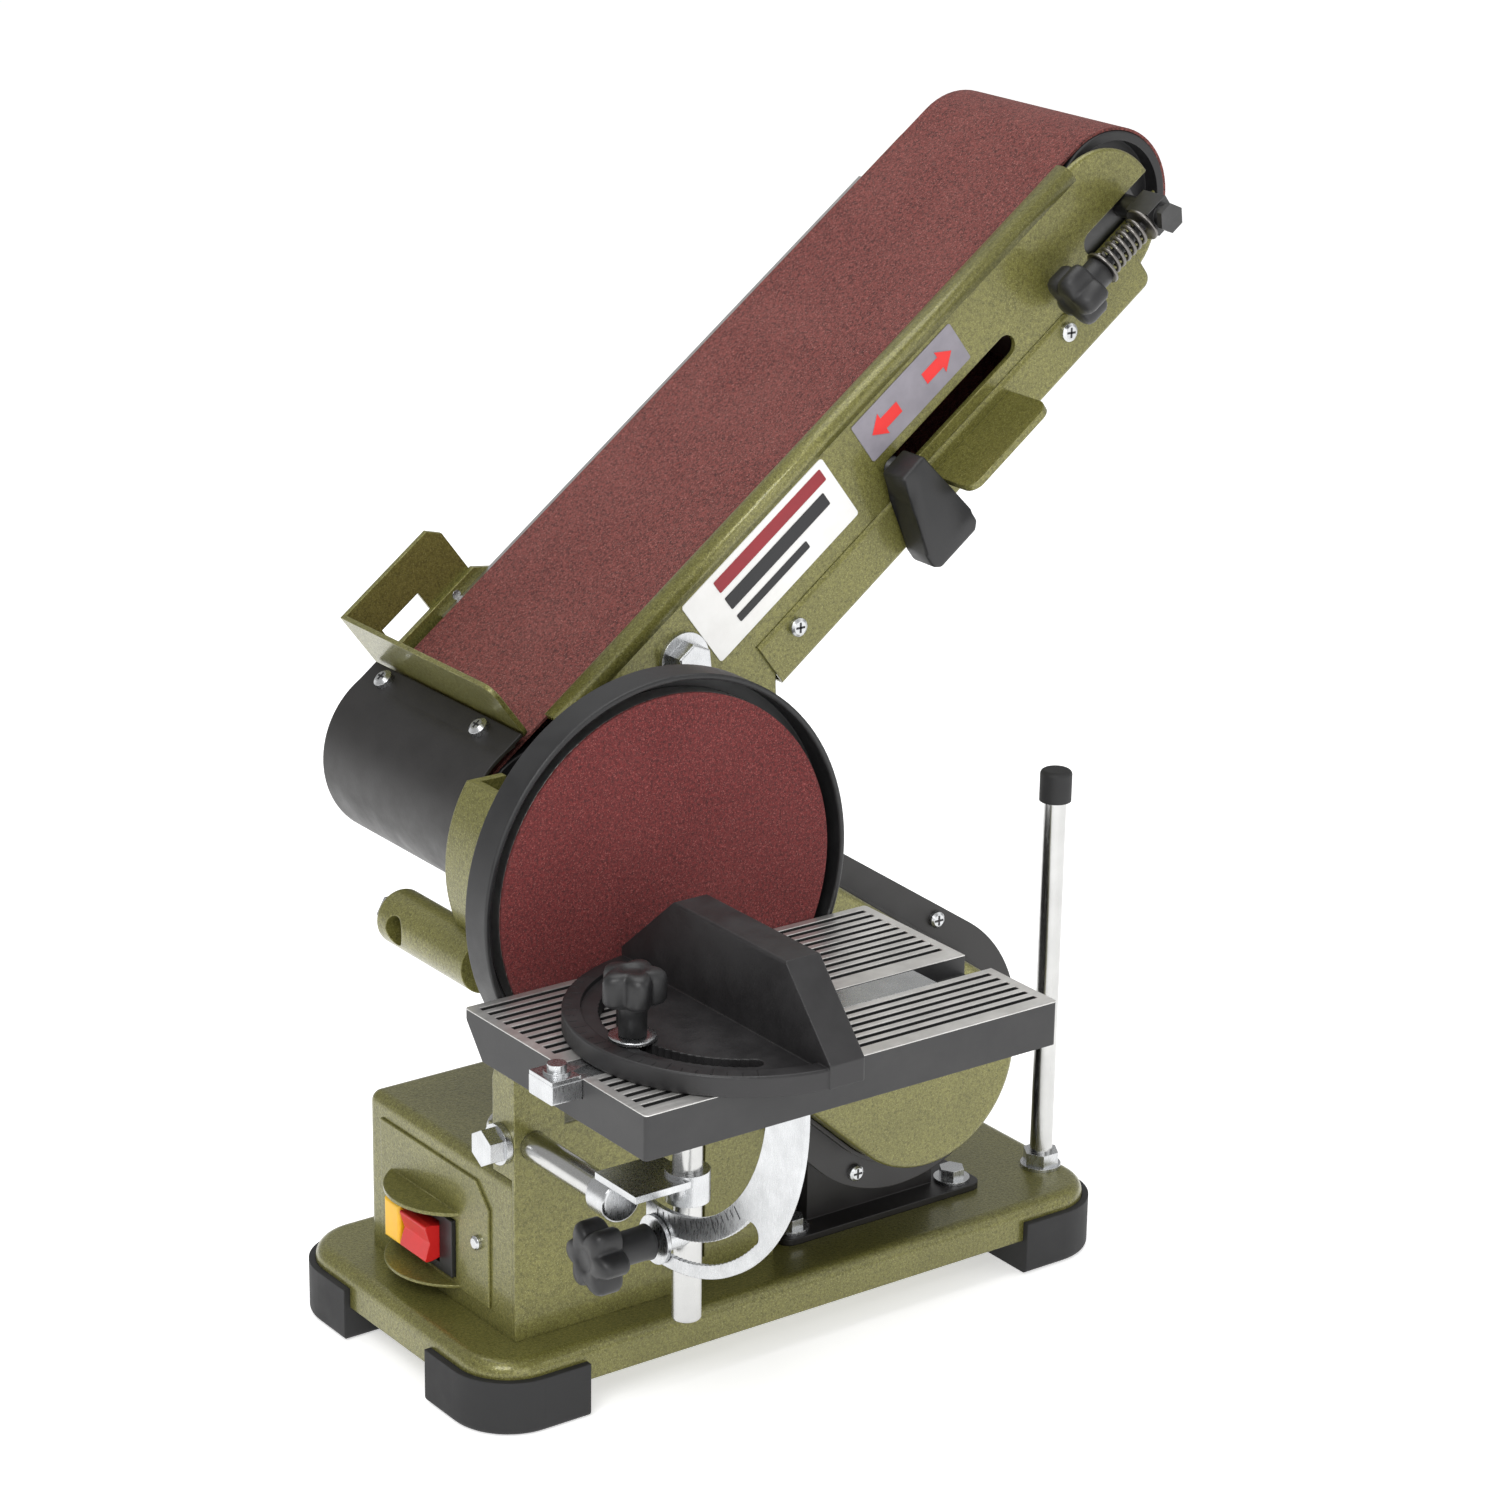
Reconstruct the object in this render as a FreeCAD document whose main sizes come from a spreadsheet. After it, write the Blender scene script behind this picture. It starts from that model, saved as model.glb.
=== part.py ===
"""Belt and disc sander: a base with motor, a sanding disc with a tilting table,
and a belt arm that swings about the same spindle axis.

Frame: +X along the base, +Z up, the disc faces -Y. The origin is on the bench under
the middle of the whole machine. Millimetres.
"""
import FreeCAD, Part
import math
import os
import re

import Sketcher

doc = FreeCAD.newDocument("belt_disc_sander")
sheet = doc.addObject("Spreadsheet::Sheet", "Sizes")

SIZES = [
    # base and switch box
    ("base_x", -4.2, "middle of the base from the origin, X"),
    ("base_y", 82.55, "middle of the base from the origin, Y"),
    ("base_len", 321, "base plate, along X"),
    ("base_wid", 156, "base plate, along Y"),
    ("base_high", 16, "height of the pressed skirt"),
    ("base_wall", 2, "sheet of the base"),
    ("base_corner", 24, "corner radius in plan"),
    ("base_edge", 6, "radius of the pressed edge"),
    ("boot_floor", 15, "rubber under the skirt"),
    ("boot_wrap", 3, "rubber wall round the corner"),
    ("boot_reach", 46, "length of a boot along each side"),
    ("box_left", -137.5, "left face of the switch box"),
    ("box_front", -60, "front face of the support plate"),
    ("box_len", 92, "switch box along X"),
    ("box_wid", 114, "switch box along Y"),
    ("box_high", 71, "switch box height"),
    ("sheet_t", 1.5, "sheet of covers"),
    ("plate_t", 2, "thickness of brackets"),
    ("support_high", 117, "support plate height above the base"),
    ("blade_high", 128, "blade height above the base"),
    ("blade_wid", 16, "blade along Y"),
    # spindle and disc
    ("spindle_x", -101.5, "spindle axis, X"),
    ("spindle_z", 240, "spindle axis height above the bench"),
    ("face_y", -114, "abrasive face of the disc"),
    ("disc_r", 76.2, "six inch disc"),
    ("disc_t", 8, "disc thickness"),
    ("abrasive_t", 1.2, "abrasive sheet"),
    ("shaft_r", 7.5, "spindle radius"),
    ("guard_gap", 5.3, "disc edge to guard"),
    ("guard_t", 2.5, "guard wall"),
    ("guard_deep", 14, "guard along Y"),
    ("guard_lip", 1.5, "guard ahead of the disc face"),
    # frame casting
    ("rim_r", 62, "C-shaped rim, outer radius"),
    ("rim_t", 3.5, "rim wall"),
    ("rim_top", 34, "rim ends this far above the spindle"),
    ("boss_r", 25, "pivot boss of the belt arm"),
    ("running", 0.05, "radial clearance of running fits"),
    ("bearing_r", 17.5, "ball bearing, outer radius"),
    ("socket_r", 11.5, "rod socket tube radius"),
    ("socket_x", -55, "rod socket axis from the spindle"),
    ("socket_z", -36, "rod socket axis from the spindle"),
    # drive
    ("motor_dx", 160, "motor axis from the spindle"),
    ("motor_dz", -128, "motor axis from the spindle"),
    ("motor_r", 56, "motor barrel radius"),
    ("motor_len", 112, "motor along Y"),
    ("motor_y", 58, "motor front from the disc face"),
    ("pulley_small", 18, "motor pulley radius"),
    ("pulley_big", 27, "spindle pulley radius"),
    ("pulley_wid", 14, "pulley width"),
    ("pulley_y", 38, "pulleys from the disc face"),
    ("drive_t", 2.4, "drive belt thickness"),
    ("cover_motor", 46, "cover radius round the motor pulley"),
    ("cover_disc", 34, "cover radius round the spindle pulley"),
    ("cover_y", 34, "front of the drive cover"),
    ("cover_deep", 20, "drive cover depth"),
    ("back_motor", 62, "back plate radius at the motor"),
    ("back_disc", 44, "back plate radius at the spindle"),
    # belt arm
    ("arm_angle", 37.2, "belt arm above horizontal"),
    ("belt_loop", 914.4, "belt length, 36 inch"),
    ("belt_wide", 101.6, "belt width, 4 inch"),
    ("belt_t", 1.2, "belt thickness"),
    ("drum_r", 30, "drum radius"),
    ("drum_gap", 0.3, "drum to belt"),
    ("belt_y", 90, "near belt edge from the disc face"),
    ("near_y", 78, "outer face of the near side plate"),
    ("arm_t", 2.5, "side plate thickness"),
    ("far_gap", 4.4, "belt to far side plate"),
    ("arm_top", 35, "side plate above the arm axis"),
    ("arm_low", -30, "side plate below the arm axis"),
    ("far_top", 27, "far side plate above the arm axis"),
    ("arm_end", 346, "start of the round end"),
    ("pan_low", -35.5, "lower cover below the arm axis"),
    ("pan_from", 112, "lower cover start"),
    ("pan_to", 352, "lower cover end"),
    ("tab_from", 218, "rest tab start"),
    ("tab_len", 50, "rest tab length"),
    ("tab_out", 26, "rest tab width"),
    ("tab_h", -21.5, "rest tab underside"),
    ("tab_t", 3, "rest tab thickness"),
    ("slot_from", 206, "lever slot, first centre"),
    ("slot_to", 278, "lever slot, last centre"),
    ("slot_h", -3, "lever slot height"),
    ("lever_r", 5, "lever shaft radius"),
    ("axle_r", 5, "idler axle radius"),
    ("cover_r", 38, "drum cover radius"),
    ("track_y", 62, "tracking screw from the disc face"),
    ("track_knob", 54, "tracking knob's end from the idler axle"),
    # support post
    ("post_x", 250, "post from the spindle"),
    ("post_y", 66, "post from the disc face"),
    ("post_r", 5, "post radius"),
    ("cap_r", 7, "post cap radius"),
    ("cap_gap", 0.4, "cap to rest tab when the arm lies flat"),
    # table
    ("table_len", 188, "table along X"),
    ("table_wid", 119, "table along Y"),
    ("table_t", 17.6, "table thickness"),
    ("table_top", -28.4, "table surface below the spindle"),
    ("table_gap", 2.5, "disc face to table"),
    ("table_skin", 11, "solid part of the table"),
    ("table_rim", 6, "rim round the underside"),
    ("table_bevel", 12, "underside set back along the rear edge"),
    ("mitre_y", -74, "mitre slot centre from the disc face"),
    ("mitre_wid", 16, "mitre slot width"),
    ("mitre_deep", 8, "mitre slot depth"),
    ("slide_gap", 0.3, "clearance of sliding pieces"),
    ("groove_wid", 2.8, "table groove width"),
    ("groove_deep", 1.5, "table groove depth"),
    ("groove_step", 5.4, "table groove spacing"),
    ("pivot_y", -19, "table tilt axis from the disc face"),
    ("pivot_z", -54, "table tilt axis below the spindle"),
    ("leaf_x", -17, "left face of the quadrant"),
    ("leaf_in", 70, "quadrant inner radius"),
    ("leaf_out", 94, "quadrant outer radius"),
    ("leaf_rear", 8, "quadrant behind its lowest point"),
    ("leaf_slot", 84, "quadrant slot radius"),
    ("stud_r", 4, "lock stud radius"),
    ("rod_r", 6, "table rods radius"),
    ("rod_x", -27, "horizontal rod from the spindle"),
    ("rod_z", -123.5, "horizontal rod from the spindle"),
    ("rod_back", 80, "rear end of the horizontal rod"),
    ("collar_r", 9, "collar radius"),
    ("upright_x", -3, "vertical rod from the spindle"),
    # mitre gauge
    ("head_x", -19, "head pivot from the spindle"),
    ("head_r", 66, "head radius"),
    ("head_t", 8, "head plate thickness"),
    ("head_slot", 49, "head slot radius"),
    ("head_recess", 2, "recess inside the scale rim"),
    ("fence_t", 16, "fence thickness"),
    ("fence_high", 40, "fence height"),
]

NAMES = set()
for row, (alias, value, note) in enumerate(SIZES, 1):
    sheet.set("A%d" % row, alias)
    sheet.set("B%d" % row, str(value))
    sheet.setAlias("B%d" % row, alias)
    sheet.set("C%d" % row, note)
    NAMES.add(alias)
doc.recompute()

# Derived lengths, as expressions of the sheet's cells.
DRUM_STEP = "(belt_loop / 2 - pi * (drum_r + drum_gap + belt_t / 2))"
PLATE_TOP = "(boot_floor + base_high)"
BOX_TOP = "(%s + box_high)" % PLATE_TOP
FAR_Y = "(belt_y + belt_wide + far_gap)"
NEAR_IN = "(near_y + arm_t)"
GUARD_R = "(disc_r + guard_gap + guard_t)"
BACK_Y = "(cover_y + cover_deep)"
BELT_IN = "(drum_r + drum_gap)"
BELT_OUT = "(drum_r + drum_gap + belt_t)"
TABLE_LOW = "(table_top - table_t)"
TABLE_BACK = "(-table_gap)"
BASE_TOP_S = "(%s - spindle_z)" % PLATE_TOP
LOCK_Z = "(pivot_z - leaf_slot)"
HEAD_LOW = "(table_top + slide_gap)"
HEAD_TOP = "(table_top + slide_gap + head_t)"
CAP_TOP = "(tab_h - cap_gap)"

AXES = {
    "Z": FreeCAD.Rotation(),
    "Y": FreeCAD.Rotation(FreeCAD.Vector(1, 0, 0), -90),
    "X": FreeCAD.Rotation(FreeCAD.Vector(0, 1, 0), 90),
}
PLANES = {"X": "YZ_Plane", "Y": "XZ_Plane", "Z": "XY_Plane"}
EXPORTS = []


def bound(text):
    """Turn bare size names in a formula into references to the sheet."""
    def swap(match):
        word = match.group(0)
        return "Sizes." + word if word in NAMES else word
    return re.sub(r"[a-z_][a-z_0-9]*", swap, str(text))


def bind(obj, prop, text):
    obj.setExpression(prop, bound(text))


def place(obj, pose):
    """Bind an object's Placement to one of the model's reference positions."""
    if pose == "arm":
        obj.Placement = FreeCAD.Placement(
            FreeCAD.Vector(), FreeCAD.Rotation(FreeCAD.Vector(0, -1, 0), 37.2))
        bind(obj, "Placement.Rotation.Angle", "arm_angle")
    at_x = "base_x + spindle_x"
    at_y = "base_y + face_y"
    at_z = "spindle_z"
    if pose == "base":
        at_x = "base_x"
        at_y = "base_y"
        at_z = "0"
    if pose == "motor":
        at_x = "base_x + spindle_x + motor_dx"
        at_z = "spindle_z + motor_dz"
    bind(obj, "Placement.Base.x", at_x)
    bind(obj, "Placement.Base.y", at_y)
    bind(obj, "Placement.Base.z", at_z)


class Piece:
    """One sub-part as a PartDesign body of primitives, pads and pockets."""

    def __init__(self, label, pose="spindle", export=True):
        self.body = doc.addObject("PartDesign::Body", label)
        self.body.AllowCompound = True
        place(self.body, pose)
        if export:
            EXPORTS.append(self.body)

    def primitive(self, kind, sizes, at, axis="Z", cut=False):
        family = "Subtractive" if cut else "Additive"
        feature = self.body.newObject("PartDesign::" + family + kind, kind)
        for prop, text in sizes.items():
            if prop == "Polygon":
                feature.Polygon = text
            else:
                bind(feature, prop, text)
        feature.Placement = FreeCAD.Placement(FreeCAD.Vector(), AXES[axis])
        for letter, text in zip("xyz", at):
            bind(feature, "Placement.Base." + letter, text)
        return feature

    def box(self, lo, hi, cut=False):
        sizes = {}
        for prop, low, high in zip(("Length", "Width", "Height"), lo, hi):
            sizes[prop] = "(%s) - (%s)" % (high, low)
        return self.primitive("Box", sizes, lo, cut=cut)

    def rod(self, axis, at, radius, length, cut=False):
        sizes = {"Radius": radius, "Height": length}
        return self.primitive("Cylinder", sizes, at, axis, cut)

    def cone(self, axis, at, first, last, length, cut=False):
        sizes = {"Radius1": first, "Radius2": last, "Height": length}
        return self.primitive("Cone", sizes, at, axis, cut)

    def hexagon(self, axis, at, radius, length, cut=False):
        sizes = {"Polygon": 6, "Circumradius": radius, "Height": length}
        return self.primitive("Prism", sizes, at, axis, cut)

    def prism(self, axis, points, lo, hi, cut=False):
        """A polygon in the plane normal to the axis, from lo to hi along it."""
        body = self.body
        plane = [f for f in body.Origin.OriginFeatures if f.Role == PLANES[axis]][0]
        sketch = body.newObject("Sketcher::SketchObject", "Outline")
        sketch.AttachmentSupport = (plane, "")
        sketch.MapMode = "FlatFace"
        count = len(points)
        corner = []
        for k in range(count):
            turn = 2 * math.pi * k / count
            corner.append(FreeCAD.Vector(10 * math.cos(turn), 10 * math.sin(turn), 0))
        for k in range(count):
            sketch.addGeometry(Part.LineSegment(corner[k], corner[(k + 1) % count]))
        for k in range(count):
            sketch.addConstraint(
                Sketcher.Constraint("Coincident", k, 2, (k + 1) % count, 1))
        for k, (along, up) in enumerate(points):
            first = sketch.addConstraint(Sketcher.Constraint("DistanceX", -1, 1, k, 1, 1.0))
            second = sketch.addConstraint(Sketcher.Constraint("DistanceY", -1, 1, k, 1, 1.0))
            bind(sketch, "Constraints[%d]" % first, along)
            bind(sketch, "Constraints[%d]" % second, up)
        # the XZ plane looks along -Y, so its sketch starts at the far side
        start = "-(%s)" % hi if axis == "Y" else lo
        bind(sketch, "AttachmentOffset.Base.z", start)
        kind = "Pocket" if cut else "Pad"
        feature = body.newObject("PartDesign::" + kind, kind)
        feature.Profile = sketch
        bind(feature, "Length", "(%s) - (%s)" % (hi, lo))
        if cut:
            feature.Reversed = True
        return feature

    def soften(self, radius, test, kind="Fillet"):
        """Round (or chamfer) the edges of the body so far that pass the test."""
        doc.recompute()
        tip = self.body.Tip
        shape = tip.Shape
        chosen = []
        for k, edge in enumerate(shape.Edges, 1):
            if test(edge):
                chosen.append("Edge%d" % k)
        if not chosen:
            raise ValueError("no edge to soften on " + self.body.Label)
        feature = self.body.newObject("PartDesign::" + kind, kind)
        feature.Base = (tip, chosen)
        bind(feature, "Radius" if kind == "Fillet" else "Size", radius)
        return feature


def along(edge, letter):
    """True for a straight edge that runs along one axis."""
    if edge.Curve.TypeId != "Part::GeomLine":
        return False
    a = edge.Vertexes[0].Point
    b = edge.Vertexes[-1].Point
    d = b - a
    length = d.Length
    return length > 0.01 and abs(getattr(d, letter)) / length > 0.999


def at_height(edge, letter, value):
    return all(abs(getattr(v.Point, letter) - value) < 0.01 for v in edge.Vertexes)


def number(text):
    """The present value of a formula of the sheet's cells."""
    return float(sheet.evalExpression(re.sub(r"\bSizes\.", "", bound(text))))


def combine(kind, label, base, tool):
    """Part boolean of two pieces; the result is exported in place of the first."""
    result = doc.addObject("Part::" + kind, label)
    result.Base = base.body
    result.Tool = tool.body
    if base.body in EXPORTS:
        EXPORTS.remove(base.body)
    EXPORTS.append(result)
    return result


def tangents(r_one, r_two):
    """Corners of the wedge that joins circles round the spindle and the motor."""
    span = "sqrt(motor_dx ^ 2 + motor_dz ^ 2)"
    lean = "asin((%s - %s) / %s)" % (r_two, r_one, span)
    line = "atan(motor_dz / motor_dx)"
    points = []
    for side, radius, ox, oz in ((1, r_one, "0", "0"), (1, r_two, "motor_dx", "motor_dz"),
                                 (-1, r_two, "motor_dx", "motor_dz"), (-1, r_one, "0", "0")):
        sign = "+" if side > 0 else "-"
        turn = "(%s %s (90 + %s / 1deg) * 1deg)" % (line, sign, lean)
        points.append(("%s + (%s) * cos(%s)" % (ox, radius, turn),
                       "%s + (%s) * sin(%s)" % (oz, radius, turn)))
    return points


def teardrop(piece, r_spindle, r_motor, lo, hi, cut=False):
    """Tapered round-ended plate or pocket about both drive axes."""
    length = "(%s) - (%s)" % (hi, lo)
    piece.rod("Y", ("0", lo, "0"), r_spindle, length, cut)
    piece.rod("Y", ("motor_dx", lo, "motor_dz"), r_motor, length, cut)
    piece.prism("Y", tangents(r_spindle, r_motor), lo, hi, cut)


def screw(piece, axis, at, head, thick, shank, deep, sign=1):
    """Pan-head screw whose head stands towards the negative (sign 1) side."""
    index = "XYZ".index(axis)
    head_at = list(at)
    head_at[index] = "%s - (%s)" % (at[index], thick)
    piece.rod(axis, head_at, head, thick)
    cap_at = list(at)
    cap_at[index] = "%s - (%s) - 0.8" % (at[index], thick)
    piece.cone(axis, cap_at, "(%s) * 0.7" % head, head, "0.8")
    piece.rod(axis, at, shank, deep)


def lobed_knob(piece, axis, at, radius, lobe, thick, count):
    """Knob with round lobes about the axis; thick runs along +axis from at."""
    piece.rod(axis, at, "(%s) * 0.72" % radius, thick)
    index = "XYZ".index(axis)
    others = [k for k in range(3) if k != index]
    for n in range(count):
        turn = 360.0 * n / count
        spot = list(at)
        spot[others[0]] = "%s + (%s - %s) * cos(%gdeg)" % (at[others[0]], radius, lobe, turn)
        spot[others[1]] = "%s + (%s - %s) * sin(%gdeg)" % (at[others[1]], radius, lobe, turn)
        piece.rod(axis, spot, lobe, thick)


# ---------------------------------------------------------------- base
HALF_X = "base_len / 2"
HALF_Y = "base_wid / 2"
outer = Piece("base_shell", "base", export=False)
outer.box(("-" + HALF_X, "-" + HALF_Y, "boot_floor"), (HALF_X, HALF_Y, PLATE_TOP))
outer.soften("base_corner", lambda e: along(e, "z"))
outer.soften("base_edge", lambda e: at_height(e, "z", number(PLATE_TOP)))

hollow = Piece("base_hollow", "base", export=False)
hollow.box(("-%s + base_wall" % HALF_X, "-%s + base_wall" % HALF_Y, "boot_floor - 1"),
           (HALF_X + " - base_wall", HALF_Y + " - base_wall", PLATE_TOP + " - base_wall"))
hollow.soften("base_corner - base_wall", lambda e: along(e, "z"))
FEET_X = ("motor_dx - 44", "motor_dx + 44")
FEET_Y = ("motor_y + 14", "motor_y + 100")
for fx in FEET_X:
    for fy in FEET_Y:
        hollow.rod("Z", ("spindle_x + " + fx, "face_y + " + fy, "0"), "3.2", PLATE_TOP + " + 5")
hollow.rod("Z", ("spindle_x + post_x", "face_y + post_y", "0"), "post_r + running * 2",
           PLATE_TOP + " + 5")
CAST_FEET = (("70", "98"), ("90", "98"))
for cx, cy in CAST_FEET:
    hollow.rod("Z", ("spindle_x + " + cx, "face_y + " + cy, "0"), "3.2", PLATE_TOP + " + 5")
combine("Cut", "base_plate", outer, hollow)

boots = Piece("boot_blocks", "base", export=False)
for sx in (-1, 1):
    for sy in (-1, 1):
        if sx < 0:
            bx = ("-%s - boot_wrap" % HALF_X, "-%s + boot_reach" % HALF_X)
        else:
            bx = ("%s - boot_reach" % HALF_X, "%s + boot_wrap" % HALF_X)
        if sy < 0:
            by = ("-%s - boot_wrap" % HALF_Y, "-%s + boot_reach" % HALF_Y)
        else:
            by = ("%s - boot_reach" % HALF_Y, "%s + boot_wrap" % HALF_Y)
        boots.box((bx[0], by[0], "0"), (bx[1], by[1], "boot_floor + base_high * 0.55"))


def outer_corner(edge):
    p = edge.Vertexes[0].Point
    far_x = abs(p.x) > number(HALF_X)
    far_y = abs(p.y) > number(HALF_Y)
    return along(edge, "z") and far_x and far_y


boots.soften("base_corner + boot_wrap", outer_corner)
boots.soften("2.5", lambda e: at_height(e, "z", 0) and max(
    abs(v.Point.x) for v in e.Vertexes) > number(HALF_X) - 30)
combine("Cut", "rubber_feet", boots, outer)

# ---------------------------------------------------------------- switch box
BX0 = "box_left"
BX1 = "(box_left + box_len)"
BY0 = "(box_front + plate_t)"
BY1 = "(box_front + box_wid)"
PANEL_Y = ("box_front + 18", "box_front + box_wid - 12")
PANEL_Z = (PLATE_TOP + " + 8", BOX_TOP + " - 9")
SW_Y = "(box_front + box_wid / 2 + 10)"
SW_Z = "(%s + 25)" % PLATE_TOP
case = Piece("box_case", "base", export=False)
case.box((BX0, BY0, PLATE_TOP), (BX1, BY1, BOX_TOP))
case.soften("5", lambda e: along(e, "z") and abs(e.Vertexes[0].Y - number(BY1)) < 0.01)
case.soften("5", lambda e: at_height(e, "z", number(BOX_TOP)))
room = Piece("box_room", "base", export=False)
room.box((BX0 + " + sheet_t", BY0 + " + sheet_t", PLATE_TOP + " - 1"),
         (BX1 + " - sheet_t", BY1 + " - sheet_t", BOX_TOP + " - sheet_t"))
room.soften("3.5", lambda e: along(e, "z"))
room.soften("3.5", lambda e: at_height(e, "z", number(BOX_TOP + " - sheet_t")))
room.box((BX0 + " - 5", SW_Y + " - 24", SW_Z + " - 13"),
         (BX0 + " + 5", SW_Y + " + 24", SW_Z + " + 13"))
room.rod("Y", (BX0 + " + 46", BY1 + " - 5", PLATE_TOP + " + 30"), "8.05", "10")
for sy, sz in ((PANEL_Y[0] + " + 8", PANEL_Z[0] + " + 27"), (PANEL_Y[1] + " - 8", PANEL_Z[0] + " + 27")):
    room.rod("X", (BX0 + " - 5", sy, sz), "1.6", "10")
combine("Cut", "switch_box", case, room)

panel = Piece("switch_panel", "base")
panel.prism("X", [(PANEL_Y[0], PANEL_Z[0]), (PANEL_Y[1], PANEL_Z[0]), (PANEL_Y[1], PANEL_Z[1]),
                  (PANEL_Y[0] + " + 10", PANEL_Z[1]), (PANEL_Y[0], PANEL_Z[1] + " - 10")],
            BX0 + " - 1.2", BX0)
HOOD_R = "31"
for hz in (SW_Z + " + 15.5", SW_Z + " - 17"):
    panel.rod("Z", (BX0 + " + 15", SW_Y, hz), HOOD_R, "sheet_t")
panel.box((BX0, SW_Y + " - 40", SW_Z + " - 25"), (BX0 + " + 60", SW_Y + " + 40", SW_Z + " + 25"),
          cut=True)
panel.box((BX0 + " - 5", SW_Y + " - 24", SW_Z + " - 13"),
          (BX0 + " + 5", SW_Y + " + 24", SW_Z + " + 13"), cut=True)
for sy in (PANEL_Y[0] + " + 8", PANEL_Y[1] + " - 8"):
    panel.rod("X", (BX0 + " - 5", sy, PANEL_Z[0] + " + 27"), "1.6", "10", cut=True)
panel.soften("0.5", lambda e: at_height(e, "x", number(BX0 + " - 1.2")) and (
    at_height(e, "z", number(PANEL_Z[0])) or at_height(e, "z", number(PANEL_Z[1]))
    or at_height(e, "y", number(PANEL_Y[0])) or at_height(e, "y", number(PANEL_Y[1]))))

cover_screws = Piece("cover_screws", "base")
for sy in (PANEL_Y[0] + " + 8", PANEL_Y[1] + " - 8"):
    screw(cover_screws, "X", (BX0 + " - 1.2", sy, PANEL_Z[0] + " + 27"), "3.1", "1.4", "1.5", "6")

switch = Piece("switch_body", "base")
switch.box((BX0 + " - 3", SW_Y + " - 23.7", SW_Z + " - 12.7"),
           (BX0 + " + 24", SW_Y + " + 23.7", SW_Z + " + 12.7"))
for y0, y1 in ((" + 7.7", " + 20.3"), (" - 14.3", " + 6.3")):
    switch.box((BX0 + " - 4", SW_Y + y0, SW_Z + " - 9.3"), (BX0 + " + 18", SW_Y + y1, SW_Z + " + 9.3"),
               cut=True)

start_key = Piece("start_key", "base")
start_key.box((BX0 + " - 9", SW_Y + " + 8", SW_Z + " - 9"), (BX0 + " + 6", SW_Y + " + 20", SW_Z + " + 9"))
start_key.soften("1.5", lambda e: at_height(e, "x", number(BX0 + " - 9")))

stop_paddle = Piece("stop_paddle", "base")
stop_paddle.prism("Y", [(BX0 + " + 8", SW_Z + " - 5"), (BX0 + " + 8", SW_Z + " + 5"),
                        (BX0 + " - 6.5", SW_Z + " + 8"), (BX0 + " - 10", SW_Z + " + 8"),
                        (BX0 + " - 7.5", SW_Z + " + 0"), (BX0 + " - 10", SW_Z + " - 8"),
                        (BX0 + " - 6.5", SW_Z + " - 8")],
                  SW_Y + " - 14", SW_Y + " + 6")
stop_paddle.soften("0.8", lambda e: at_height(e, "x", number(BX0 + " - 10")))

gland = Piece("cord_gland", "base")
GX = BX0 + " + 46"
GZ = PLATE_TOP + " + 30"
gland.rod("Y", (GX, BY1 + " - 8", GZ), "8", "14")
gland.rod("Y", (GX, BY1, GZ), "11", "3")
gland.cone("Y", (GX, BY1 + " + 3", GZ), "9.5", "6.5", "14")
gland.rod("Y", (GX, BY1 + " - 9", GZ), "3.5", "28", cut=True)

# ---------------------------------------------------------------- support plate, rod clamp
FY = "box_front"
RX = "(spindle_x + rod_x)"
RZ = "(spindle_z + rod_z)"
support = Piece("support_sheet", "base", export=False)
support.box((BX0, FY, PLATE_TOP), (BX1, FY + " + plate_t", PLATE_TOP + " + support_high"))
support.prism("X", [(FY, PLATE_TOP + " + box_high + 0.5"), (FY + " + blade_wid", PLATE_TOP + " + box_high + 0.5"),
                    (FY + " + blade_wid", PLATE_TOP + " + blade_high - 16"),
                    (FY + " + blade_wid * 0.75", PLATE_TOP + " + blade_high - 4"),
                    (FY + " + blade_wid * 0.5", PLATE_TOP + " + blade_high"),
                    (FY + " + blade_wid * 0.25", PLATE_TOP + " + blade_high - 4"),
                    (FY, PLATE_TOP + " + blade_high - 16")], BX0, BX0 + " + plate_t")
support.box((BX1 + " - plate_t", FY, PLATE_TOP + " + box_high + 0.5"),
            (BX1, FY + " + 5.5", PLATE_TOP + " + support_high"))
support.rod("Y", (RX, FY, RZ), "collar_r", "20")
support.box((BX0, FY + " + 1", RZ + " - 6"), (RX, FY + " + 19", RZ + " + 6"))
support.rod("Y", (RX, FY + " - 5", RZ), "rod_r + running", "30", cut=True)
support.rod("X", (BX0 + " - 2", FY + " + 9", RZ), "3.1", "9", cut=True)
for v0, v1, w0, w1 in (("24", "42", "91", "104"), ("58", "76", "84", "97")):
    support.box((BX0 + " + " + v0, FY + " - 3", PLATE_TOP + " + " + w0),
                (BX0 + " + " + v1, FY + " + 5", PLATE_TOP + " + " + w1), cut=True)

beside = Piece("room_for_backplate", export=False)
teardrop(beside, "back_disc + 0.5", "back_motor + 0.5", BACK_Y + " - 8", BACK_Y + " + 20")
combine("Cut", "support_plate", support, beside)

clamp_bolt = Piece("rod_clamp_bolt", "base")
clamp_bolt.hexagon("X", (BX0 + " - 10", FY + " + 9", RZ), "8", "7")
clamp_bolt.rod("X", (BX0 + " - 3", FY + " + 9", RZ), "8.6", "2.9")
clamp_bolt.rod("X", (BX0 + " - 1", FY + " + 9", RZ), "3", "(%s - rod_r - 0.2) - (%s - 1)" % (RX, BX0))

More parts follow.
